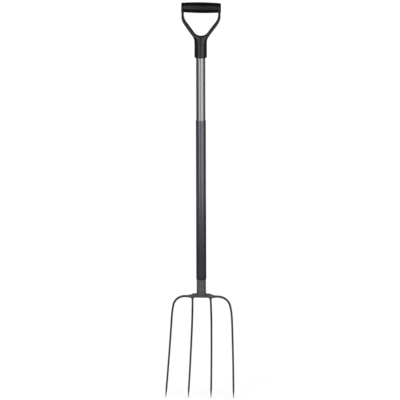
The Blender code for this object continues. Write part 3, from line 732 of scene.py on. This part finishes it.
crown = dict(
    flatHalf=0.0235, rise=0.0083,                # half its level top, and the top above the tines' axis
    archDrop=0.0021, haunchDrop=0.0037,          # underside below that axis, amid and at the inner tines
    endHalf=0.0040,                              # half its height and depth at both ends
    depth=0.0160, edge=0.0026,                   # from front to back, and its rounded edges
    stub=0.0070, rootSwell=0.00035,              # rod roots: length, and how much thicker than the tine
    bossRadius=0.0162, bossRise=0.0098, bossSkirt=0.0020,
    flare=0.0058, flareCurve=3.2, flareSwell=0.0002,    # flares down into the inner tines
    flareReach=0.7, flareEnd=0.6,                # narrow from here, and stop there, in stubs past the root
    plugRadius=0.0119, plugLength=0.0260,        # plug that the neck tube slides over
    fillet=0.0030,
    uneven=0.00012,                              # of its skin, in waves of radians a metre and a phase
    waves=((410.0, 1.3), (520.0, 0.4), (470.0, 2.1)),
    roomHalf=0.0470, roomDepth=0.0190, roomFoot=0.2780, roomTop=0.3370,   # where the skin is looked for
    voxel=0.00055,
)


def roundBox(u, v, halfU, halfV, radius):
    # distance to a rectangle with rounded corners: to the rectangle that is smaller by the radius, less it
    a, b = np.abs(u) - halfU + radius, np.abs(v) - halfV + radius
    return np.hypot(np.maximum(a, 0.0), np.maximum(b, 0.0)) + np.minimum(np.maximum(a, b), 0.0) - radius


def crownField(x, y, z):
    # smooth least of the distances to bar, rod roots, boss and flares, less small waves, and the plug
    wide = np.abs(x)
    y, z = y - crownY, z - head["height"]
    # bar: arched below, level then sloping above, thinner towards the ends
    share = (wide - crown["flatHalf"]) / (head["crownHalf"] - crown["flatHalf"])
    slope = ease(share)
    top = crown["rise"] + (crown["endHalf"] - crown["rise"]) * slope
    arch = np.minimum(wide / head["innerHalf"], 1.0) ** 2
    low = -crown["archDrop"] + (crown["archDrop"] - crown["haunchDrop"]) * arch
    low = low + (crown["haunchDrop"] - crown["endHalf"]) * slope
    half = crown["depth"] / 2 + (crown["endHalf"] - crown["depth"] / 2) * slope
    bar = roundBox(y, z - (top + low) / 2, half, (top - low) / 2, crown["edge"])
    bar = np.maximum(bar, wide - head["crownHalf"])
    # rod root that leaves each end, a little thicker than the tine until it runs out
    past = np.clip((wide - head["crownHalf"]) / crown["stub"], 0.0, 1.0)
    rod = np.hypot(y, z) - (tine["outerRoot"] + crown["rootSwell"] * (1 - past))
    rod = np.maximum(rod, wide - head["crownHalf"] - crown["stub"])
    body = blended(bar, rod, crown["fillet"])
    # boss under the neck tube
    boss = np.hypot(x, y + crownY - toolY) - crown["bossRadius"]
    skirt = -z - crown["archDrop"] + crown["bossSkirt"]
    boss = np.maximum(boss, np.maximum(z - crown["bossRise"], skirt))
    body = blended(body, boss, crown["fillet"])
    # flares that run down into the inner tines, in line with them
    drop = -z - crown["haunchDrop"]
    lineX = head["innerHalf"] + (-z - head["innerDrop"]) * math.tan(head["innerSplay"])
    lineY = toolY - dish(z + head["height"]) - crownY
    reach = head["innerDrop"] - crown["haunchDrop"] + crown["stub"] * crown["flareReach"]
    narrow = np.clip(1 - drop / reach, 0.0, 1.0) ** crown["flareCurve"]
    radius = tine["innerRoot"] + crown["flareSwell"] + (crown["flare"] - tine["innerRoot"]) * narrow
    flare = np.hypot(wide - lineX, y - lineY) - radius
    end = -z - head["innerDrop"] - crown["stub"] * crown["flareEnd"]
    flare = np.maximum(flare, np.maximum(z, end))
    body = blended(body, flare, crown["fillet"])
    # plug, and the forging's slight unevenness
    plug = np.maximum(np.hypot(x, y + crownY - toolY) - crown["plugRadius"],
                      np.maximum(z - crown["bossRise"] - crown["plugLength"], -z))
    alongX, alongY, alongZ = [np.sin(place * wave + phase) for place, (wave, phase) in
                              zip((x, y, z), crown["waves"])]
    return np.minimum(body - crown["uneven"] * (alongX * alongY * alongZ), plug)


crownLow = (-crown["roomHalf"], toolY - crown["roomDepth"], crown["roomFoot"])
crownHigh = (crown["roomHalf"], toolY + crown["roomDepth"], crown["roomTop"])
crownPiece = skinOf("crownForging", crownField, crownLow, crownHigh, crown["voxel"])
dress(crownPiece, finishes["forged"], "forged_steel", "crown")
print("crown made:", len(crownPiece.data.polygons), "faces")


# Neck: tube with a swaged spigot, and the weld bead round its foot

shaft = dict(
    radius=0.0142, wall=0.0015, length=0.6827,
    edge=0.0003, spacing=0.012,                  # rounded edges, and spacing of the rows of points
)
neck = dict(
    wall=0.0020, length=0.0892,                  # up to its swage
    swage=0.0030, spigot=0.1190,                 # swage's height, and the spigot's inside the shaft tube
    edge=0.0006, spacing=0.004,
)
tubeSides = 96                                   # round every tube
neckFoot = head["height"] + crown["bossRise"] + fit
shoulderZ = neckFoot + neck["length"]
spigotFoot = shoulderZ + neck["swage"]
spigotTop = spigotFoot + neck["spigot"]
spigotRadius = shaft["radius"] - shaft["wall"] - fit
shaftFoot = spigotFoot + fit
shaftTop = shaftFoot + shaft["length"]


def tubePiece(name, profile, size):
    # profile of (radius, height) with rounded corners, turned round the shaft's axis
    profile = refined(rounded(profile, size["edge"]), size["spacing"])
    points, quads = turnedRing(profile, tubeSides, centre=(0.0, toolY, 0.0))
    return meshFrom(name, points, quads[..., ::-1])


neckBore = shaft["radius"] - neck["wall"]
spigotBore = spigotRadius - neck["wall"]
neckProfile = [(shaft["radius"], neckFoot), (shaft["radius"], shoulderZ), (spigotRadius, spigotFoot),
               (spigotRadius, spigotTop), (spigotBore, spigotTop), (spigotBore, spigotFoot),
               (neckBore, shoulderZ), (neckBore, neckFoot)]
dress(tubePiece("neckTube", neckProfile, neck), finishes["neck"], "graphite_coated_steel", "neck_tube")

weld = dict(height=0.0042, clearance=0.00009, sunk=0.0001, inward=0.0006, ripples=24, slant=2.2,
            sharpness=0.6, rippleHeight=0.00022, driftHeight=0.00012,
            drifts=((0.35, 3, 0.6), (0.25, 7, 2.0)),     # each a share, waves a turn and a phase
            rows=12, sides=288)


def weldBead():
    # ring with a hollow face: radius falls by a quarter sine as height rises by one less a cosine, with
    # ripples laid round it, the power of a sine of the angle
    inner, foot = shaft["radius"] + weld["clearance"], head["height"] + crown["bossRise"] - weld["sunk"]
    leg = crown["bossRadius"] - inner
    turn = np.linspace(0.0, math.pi / 2, weld["rows"])
    face = np.stack((inner + leg * (1 - np.sin(turn)), foot + weld["height"] * (1 - np.cos(turn))), -1)
    back = inner - weld["inward"]
    profile = np.concatenate(([(back, foot)], face, [(back, foot + weld["height"])]))
    points, quads = turnedRing(profile, weld["sides"])
    grid = points.reshape(len(profile), weld["sides"], 3)
    angle = fullTurn(weld["sides"])
    radius = np.hypot(grid[..., 0], grid[..., 1])
    height = (grid[..., 2] - foot) / weld["height"]
    ripple = np.abs(np.sin(weld["ripples"] * angle[None] + weld["slant"] * height)) ** weld["sharpness"]
    drift = sum(share * np.sin(waves * angle + phase) for share, waves, phase in weld["drifts"])
    raised = weld["rippleHeight"] * ripple * np.sin(math.pi * np.clip(height, 0.0, 1.0))
    raised = raised + weld["driftHeight"] * drift[None] * (1 - height)
    scale = 1 + np.where(radius <= inner + hair, 0.0, raised) / radius
    grid[..., :2] *= scale[..., None]
    return meshFrom("neckWeldBead", grid.reshape(-1, 3) + (0.0, toolY, 0.0), quads[..., ::-1])


dress(weldBead(), finishes["forged"], "forged_steel", "neck_weld")


# Shaft tube and its sleeve

tubeBore = shaft["radius"] - shaft["wall"]
tubeProfile = [(shaft["radius"], shaftFoot), (shaft["radius"], shaftTop), (tubeBore, shaftTop),
               (tubeBore, shaftFoot)]
dress(tubePiece("shaftTube", tubeProfile, shaft), finishes["aluminium"], "satin_aluminium", "shaft_tube")

sleeve = dict(
    rise=0.0442, length=0.4936, wall=0.00085,    # its foot above the neck's
    taper=0.0045, lip=0.0008, endWall=0.3,       # thinned over its foot and its top, to a share of its wall
    edge=0.0003, spacing=0.010,
)
sleeveBottom = neckFoot + sleeve["rise"]
sleeveTop = sleeveBottom + sleeve["length"]
sleeveBore = shaft["radius"] + fit
sleeveOuter = sleeveBore + sleeve["wall"]
sleeveEnd = sleeveBore + sleeve["endWall"] * sleeve["wall"]
sleeveProfile = [(sleeveEnd, sleeveBottom), (sleeveOuter, sleeveBottom + sleeve["taper"]),
                 (sleeveOuter, sleeveTop - sleeve["lip"]), (sleeveEnd, sleeveTop),
                 (sleeveBore, sleeveTop), (sleeveBore, sleeveBottom)]
dress(tubePiece("shaftSleeve", sleeveProfile, sleeve), finishes["sleeve"], "blue_grey_plastic",
      "shaft_sleeve")
for name in ("neck_pin_lower", "neck_pin_upper"):
    dress(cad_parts[name], finishes["zinc"], "zinc_plated_steel")
print("neck, shaft and sleeve made")


# Handle: one moulding, the skin of socket, arms, eyes and core that merge in fillets

screw = dict(
    rise=0.0240,                                 # above the foot of the handle's socket
    shankRadius=0.0020, shankLength=0.0095,
    tipRadius=0.0006, tipLength=0.0025,
    headRadius=0.0040, headRise=0.0024,
    recessRadius=0.0016, recessDepth=0.0014,     # hexagonal recess, inside its corners
    bevel=0.0003, edge=0.0001,                   # on the head's underside and round the recess
    dome=((0.0, 0.0009), (0.0003, 0.0004), (0.0010, 0.0)),   # inset and drop of the head's rounded rim
    pinhole=0.0001, sides=96,                    # both ends close to this radius, then to a point
)
handle = dict(
    socketDepth=0.0434, socketWall=0.0045,       # tube inside the socket, and the wall round it
    straight=0.0017,                             # round stretch of the socket above the tube
    flare=0.0380, flareInset=0.0014,             # radius of its sideways flare, and what its top lacks
    thinFrom=0.0120, thinTo=0.0118,              # it thins from this far below the flare to this half
    thinLate=1.3,                                # 1 is an even thinning
    armAngle=math.radians(37.0),                 # arms from upright
    armWidth=0.0107, armTop=0.0069, taperLate=3.1,      # width in front view, low and high
    armDepth=0.0100, eyeShare=0.78,              # half depth low, and high as a share of the eye's radius
    power=2.2, squareLow=1.0,                    # 2 is an oval section, more is squarer; added low down
    leanCurve=1.15,                              # 1 leans back evenly
    bend=0.0412, endRise=0.0042,                 # bend into the eyes, and the arms' ends above the crossbar
    crotchRise=0.0218, crotch=0.0243, crotchEdge=0.0036,
    crotchTilt=0.17, tiltFade=0.0120,            # slope of the crotch from front to back, and where it ends
    eyeEdge=0.0014, lip=0.0022, rim=0.0010,      # rounded edges of eyes, socket's mouth and holes
    crotchFillet=0.0051, eyeFillet=0.0042,
    screwSeat=0.0030,                            # depth of the flat that the screw's head sits on
    crotchSteps=14, bendSteps=12,
    roomHalf=0.0630, roomFront=0.0225, roomBack=0.0345,   # where the skin is looked for
    roomBelow=0.0020, roomAbove=0.0170,
    voxel=0.0007,
)
socketRadius = shaft["radius"] + fit + handle["socketWall"]
socketBottom = shaftTop - handle["socketDepth"]
straightTop = shaftTop + handle["straight"]
crotchZ = shaftTop + handle["crotchRise"]
gripZ = shaftTop + grip["rise"]
gripHalf = grip["halfWidth"] - grip["eyeWidth"]
eyeMiddle = gripHalf + grip["eyeWidth"] / 2
screwZ = socketBottom + screw["rise"]


def lean(z):
    # distance of the moulding's middle behind the shaft's axis: a power of the share of the height
    share = np.clip((z - straightTop) / (gripZ - straightTop), 0.0, None)
    return grip["back"] * share ** handle["leanCurve"]


def armLine():
    # an arc from the bottom of the crotch, a straight slope, an arc round the bend, and straight up the eye
    half = handle["armWidth"] / 2
    angle = handle["armAngle"]
    low = arcPoints((0.0, crotchZ + handle["crotch"]), handle["crotch"] + half, -math.pi / 2, -angle,
                    handle["crotchSteps"])
    topX = grip["halfWidth"] - grip["eyeWidth"] / 2
    bendX = topX - handle["bend"]
    meetX = bendX + handle["bend"] * math.cos(angle)
    meetZ = low[-1, 1] + (meetX - low[-1, 0]) / math.tan(angle)
    bendZ = meetZ + handle["bend"] * math.sin(angle)
    high = arcPoints((bendX, bendZ), handle["bend"], -angle, 0.0, handle["bendSteps"])
    return np.concatenate((low, high, [(topX, gripZ + handle["endRise"])]))


armPath = armLine()


def handleField(x, y, z):
    # smooth least of the distances to arms, socket and eyes, joined with the core, less the bore and the
    # screw's stepped hole
    wide = np.abs(x)
    y = y - toolY
    leaning = lean(z)
    # arms: a section between oval and rectangle that narrows in front view and deepens from the side on its
    # way up; at the crotch it is turned square to the leaning moulding, by a height that rises to the front
    upright = z + handle["crotchTilt"] * (y - leaning) * (1 - ease((z - crotchZ) / handle["tiltFade"]))
    across = np.sqrt(squaredGap(armPath, *np.broadcast_arrays(wide, upright)))
    deep = np.abs(y - leaning)
    rise = ease((z - crotchZ) / (gripZ - grip["eyeRadius"] - crotchZ))
    late = rise ** handle["taperLate"]
    halfWidth = (handle["armWidth"] + (handle["armTop"] - handle["armWidth"]) * late) / 2
    topDepth = grip["eyeRadius"] * handle["eyeShare"]
    halfDepth = handle["armDepth"] + (topDepth - handle["armDepth"]) * rise ** 2
    power = handle["power"] + handle["squareLow"] * (1 - rise) ** 3
    rho = ((across / halfWidth) ** power + (deep / halfDepth) ** power) ** (1 / power)
    arms = np.maximum(ovalGap(across, deep, rho, halfWidth), -halfWidth)
    arms = np.maximum(arms, z - gripZ - handle["endRise"])
    # socket: round below, spreading sideways and thinning from front to back, its top cut by the crotch
    flareHeight = handle["flare"] * math.sin(handle["armAngle"])
    lift = np.clip((z - straightTop) / flareHeight, 0.0, 1.0)
    swing = np.arcsin(lift * math.sin(handle["armAngle"]))
    share = swing / handle["armAngle"]
    width = socketRadius + handle["flare"] * (1 - np.cos(swing)) - handle["flareInset"] * share ** 3
    topZ = straightTop + flareHeight
    thin = (z - straightTop + handle["thinFrom"]) / (topZ - straightTop + handle["thinFrom"])
    thin = np.clip(thin, 0.0, 1.0) ** handle["thinLate"]
    depth = socketRadius + (handle["thinTo"] - socketRadius) * thin
    back = y - leaning * share
    socket = ovalGap(wide, back, np.hypot(wide / width, back / depth), depth)
    opening = np.hypot(x, upright - crotchZ - handle["crotch"]) - handle["crotch"]
    for away, rounding in ((z - socketBottom, handle["lip"]), (topZ - z, handle["crotchEdge"]),
                           (opening, handle["crotchEdge"])):
        socket = cut(socket, away, rounding)
    body = blended(arms, socket, handle["crotchFillet"])
    # eyes with rounded rims, and the core between them
    spoke = np.hypot(y - grip["back"], z - gripZ)
    eye = roundBox(spoke, wide - eyeMiddle, grip["eyeRadius"], grip["eyeWidth"] / 2, handle["eyeEdge"])
    body = blended(body, eye, handle["eyeFillet"])
    core = np.maximum(spoke - grip["coreRadius"], wide - eyeMiddle)
    body = np.minimum(body, core)
    # bore for the shaft, and the stepped hole for the screw at the back
    hole = np.maximum(np.hypot(x, y) - shaft["radius"] - fit, z - shaftTop - fit)
    body = cut(body, hole, handle["rim"])
    drill = np.hypot(x, z - screwZ)
    seat = socketRadius - handle["screwSeat"]
    stepped = np.minimum(np.maximum(drill - screw["shankRadius"] - fit, -y),
                         np.maximum(drill - screw["headRadius"] - fit, seat - y))
    return cut(body, stepped, handle["rim"])


handleLow = (-handle["roomHalf"], toolY - handle["roomFront"], socketBottom - handle["roomBelow"])
handleHigh = (handle["roomHalf"], toolY + handle["roomBack"], gripZ + handle["roomAbove"])
handlePiece = skinOf("handleMoulding", handleField, handleLow, handleHigh, handle["voxel"])
dress(handlePiece, finishes["moulding"], "black_moulding", "handle_frame")
print("handle made:", len(handlePiece.data.polygons), "faces")


def gripBarrel():
    # barrel round the core: radius falls with the square of the distance from its middle, the rims are
    # rounded by a quarter circle, and mould lines with a bell-shaped section run along it, front and back
    half = gripHalf - fit
    x = np.linspace(-half, half, grip["rows"])
    radius = grip["endRadius"] + (grip["midRadius"] - grip["endRadius"]) * (1 - (x / half) ** 2)
    near = np.clip((half - np.abs(x)) / grip["endRound"], 0.0, 1.0)
    radius = radius - grip["endRound"] * (1 - np.sqrt(1 - (1 - near) ** 2))
    inner = grip["coreRadius"] + fit
    profile = np.concatenate((np.stack((radius, x), -1), [(inner, half), (inner, 0.0), (inner, -half)]))
    points, quads = turnedRing(profile, grip["sides"], "x")
    grid = points.reshape(len(profile), grip["sides"], 3)
    seam = np.exp(-(np.sin(fullTurn(grip["sides"])) / grip["seamWidth"]) ** 2)
    outside = profile[:, :1] > inner + hair
    grid[..., 1:] *= (1 + grip["seamHeight"] * seam[None, :] / profile[:, :1] * outside)[..., None]
    points = grid.reshape(-1, 3) + (0.0, toolY + grip["back"], gripZ)
    return meshFrom("gripBarrel", points, quads[..., ::-1])


dress(gripBarrel(), finishes["soft"], "soft_black_grip", "grip_sleeve")


def screwPiece():
    # pan head and plain shank, a profile of (radius, distance along +Y) turned round +Y; the recess takes
    # the radius of a hexagon, its inner radius over the cosine of the angle from the nearest flat's middle
    seat = socketRadius - handle["screwSeat"] + fit
    top, tip = seat + screw["headRise"], seat - screw["shankLength"]
    shank, wide, recess = screw["shankRadius"], screw["headRadius"], screw["recessRadius"]
    bottom, bevel, edge = top - screw["recessDepth"], screw["bevel"], screw["edge"]
    dome = [(wide - inset, top - drop) for inset, drop in screw["dome"]]
    profile = np.array([(screw["pinhole"], tip), (screw["tipRadius"], tip),
                        (shank, tip + screw["tipLength"]), (shank, seat),
                        (wide - edge, seat), (wide, seat + bevel), *dome,
                        (recess + bevel, top), (recess, top - edge), (recess, bottom),
                        (screw["pinhole"], bottom)])
    rows, sides = len(profile), screw["sides"]
    angle = fullTurn(sides)
    hexagon = math.cos(math.pi / 6) / np.cos((angle + math.pi / 6) % (math.pi / 3) - math.pi / 6)
    radius = np.repeat(profile[:, :1], sides, 1)
    radius[-3:-1] *= hexagon[None]
    height = np.repeat(profile[:, 1:], sides, 1)
    grid = np.stack((radius * np.cos(angle), height, radius * np.sin(angle)), -1)
    points = np.concatenate((grid.reshape(-1, 3), [(0.0, tip, 0.0), (0.0, bottom, 0.0)]))
    first = np.arange(sides)
    last = first + (rows - 1) * sides
    tris = np.concatenate((fan(first, rows * sides), fan(last, rows * sides + 1)[:, [1, 0, 2]]))
    quads = gridFaces(rows, sides)
    return meshFrom("handleScrew", points + (0.0, toolY, screwZ), quads[..., ::-1], tris[:, ::-1])


dress(screwPiece(), finishes["zinc"], "zinc_plated_steel", "handle_screw")
print("grip and screw made")


# Stage: floor, flags, world, lamps and camera

stage = dict(
    floorRings=(0.5, 1.5, 4.0, 12.0, 40.0), floorSides=96,
    floorDark=(0.80, 0.80, 0.80), floorPale=(0.84, 0.84, 0.84), floorMottle=0.02,
    floorGlow=0.24,                              # lifts what the camera sees of the floor to white
    worldFill=0.42,                              # what the world lights the tool with
    sunWidth=math.radians(42.0),
    suns=(("keyLeft", -38.0, 36.0, 1.25), ("keyRight", 42.0, 34.0, 1.0), ("rear", 178.0, 42.0, 0.6)),
)                                                # each sun: name, azimuth, elevation in degrees, strength


def floorMaterial():
    # pale diffuse floor; what the camera and mirrors see of it is lifted to white, shadows stay
    f = Finish("paleFloor")
    tone = f.mix(f.noise(stage["floorMottle"], detail=3.0), stage["floorDark"], stage["floorPale"])
    diffuse = f.node("ShaderNodeBsdfDiffuse", Color=tone)
    glow = f.node("ShaderNodeEmission", Color=(1.0, 1.0, 1.0, 1.0), Strength=f.seen() * stage["floorGlow"])
    both = f.node("ShaderNodeAddShader", None, diffuse.outputs[0], glow.outputs[0])
    f.feed(f.tree.nodes["Material Output"].inputs["Surface"], both.outputs[0])
    f.tree.nodes.remove(f.shader)
    return f.material


def floorDisc():
    # level rings of points round the origin, radius * (cos, sin), closed by a fan in the middle
    sides = stage["floorSides"]
    angle = fullTurn(sides)
    radius = np.array(stage["floorRings"])[:, None]
    rings = np.stack((radius * np.cos(angle), radius * np.sin(angle), 0.0 * radius * angle), -1)
    points = np.concatenate((rings.reshape(-1, 3), [(0.0, 0.0, 0.0)]))
    quads = gridFaces(len(radius), sides)
    return meshFrom("paleFloor", points, quads[..., ::-1], fan(np.arange(sides), len(points) - 1))


floor = floorDisc()
floor.data.materials.append(floorMaterial())

cards = dict(
    radius=1.6, top=2.7,                         # upright flags stand on a circle round the tool
    ground=0.012, skirt=0.255, gap=0.02,         # the low ones reach from the ground to the skirt
    left=(-155.0, -45.0), right=(63.0, 155.0), middle=(-12.0, 12.0),   # azimuths, from front towards +X
    backTop=0.75,                                # behind the tool white shows up to here
    steps=25, mottle=0.05, unevenness=1.15, roughness=0.9,
    discMiddle=0.001,                            # level ones are closed to this share of their radius
    dark=(0.13, 0.13, 0.13), grey=(0.42, 0.42, 0.42), low=(0.05, 0.05, 0.05), lid=(0.03, 0.03, 0.03),
)


def card(name, colour, parts):
    # matt flags, seen only as reflections; a part is a band between two azimuths, a foot and a top, upright
    # and radius * (sin, -cos) of its azimuths, or where foot and top are one height, a level disc
    points, quads, steps = [], [], cards["steps"]
    for low, high, foot, top in parts:
        a = np.radians(np.linspace(low, high, steps))
        base = np.stack((cards["radius"] * np.sin(a), -cards["radius"] * np.cos(a)), -1)
        upper = base if top > foot else base * cards["discMiddle"]
        rows = np.stack([np.column_stack((base, np.full(steps, foot))),
                         np.column_stack((upper, np.full(steps, top)))])
        quads.append(gridFaces(2, steps)[:, :-1].reshape(-1, 4) + 2 * steps * len(points))
        points.append(rows.reshape(-1, 3) + (0.0, toolY, 0.0))
    made = meshFrom(name, np.concatenate(points), np.concatenate(quads))
    f = Finish(name)
    pale = tuple(cards["unevenness"] * part for part in colour)
    made.data.materials.append(f.done(f.mix(f.noise(cards["mottle"]), colour, pale), cards["roughness"]))
    made.visible_camera = made.visible_diffuse = made.visible_shadow = made.visible_transmission = False


card("darkCards", cards["dark"], [(*cards["left"], cards["skirt"], cards["top"]),
                                  (*cards["right"], cards["skirt"], cards["top"])])
card("greyCard", cards["grey"], [(*cards["middle"], cards["skirt"], cards["top"])])
card("lowCards", cards["low"], [(-180.0, 180.0, cards["ground"], cards["skirt"] - cards["gap"] / 2),
                                (-180.0, 180.0, cards["ground"], cards["ground"])])
lidHeight = cards["top"] + cards["gap"]
behind = (cards["right"][1], 360.0 + cards["left"][0])
card("lidCards", cards["lid"], [(*behind, cards["backTop"], cards["top"]),
                                (-180.0, 180.0, lidHeight, lidHeight)])

world = bpy.data.worlds.new("studio")
bpy.context.scene.world = world
world.use_nodes = True
around = Nodes(world.node_tree)
background = world.node_tree.nodes["Background"]
around.feed(background.inputs["Color"], (1.0, 1.0, 1.0, 1.0))
around.feed(background.inputs["Strength"], stage["worldFill"] + (1.0 - stage["worldFill"]) * around.seen())


def towards(azimuth, elevation):
    # unit vector at an azimuth, in degrees from the front towards +X, and an elevation:
    # (sin a cos e, -cos a cos e, sin e)
    a, e = math.radians(azimuth), math.radians(elevation)
    return Vector((math.sin(a) * math.cos(e), -math.cos(a) * math.cos(e), math.sin(e)))


def softSun(name, azimuth, elevation, strength):
    # far softbox: a sun whose disc is wide enough for soft-edged shadows
    lamp = bpy.data.lights.new(name, "SUN")
    lamp.energy, lamp.angle = strength, stage["sunWidth"]
    made = bpy.data.objects.new(name, lamp)
    made.visible_glossy = False    # reflections come from the white room and its flags
    made.rotation_euler = towards(azimuth, elevation).to_track_quat("Z", "Y").to_euler()
    bpy.context.scene.collection.objects.link(made)


for sun in stage["suns"]:
    softSun(*sun)


def studioCamera():
    # long lens at the photograph's angle, aimed so that the tool lands on the same pixels: it stands back
    # from its aim by the frame's width times the lens over the sensor
    view = dict(azimuth=5.0, elevation=12.0, roll=0.16,     # in degrees
                lens=1200.0, sensor=36.0, clip=(0.1, 120.0),
                pixels=400, pixel=0.003035,      # metres that a pixel covers at the tool
                aimHeight=0.5992, aimLeft=0.0033)
    data = bpy.data.cameras.new("studioCamera")
    data.lens, data.sensor_width = view["lens"], view["sensor"]
    data.clip_start, data.clip_end = view["clip"]
    made = bpy.data.objects.new("studioCamera", data)
    back = towards(view["azimuth"], view["elevation"])
    right = towards(view["azimuth"] + 90.0, 0.0)
    distance = view["pixels"] * view["pixel"] * view["lens"] / view["sensor"]
    made.location = Vector((0.0, toolY, view["aimHeight"])) - right * view["aimLeft"] + back * distance
    made.rotation_mode = "QUATERNION"
    level = (-back).to_track_quat("-Z", "Y")
    made.rotation_quaternion = level @ Quaternion((0.0, 0.0, 1.0), -math.radians(view["roll"]))
    bpy.context.scene.collection.objects.link(made)
    bpy.context.scene.camera = made


studioCamera()
bpy.context.scene.view_settings.view_transform = "Standard"
print("stage made")
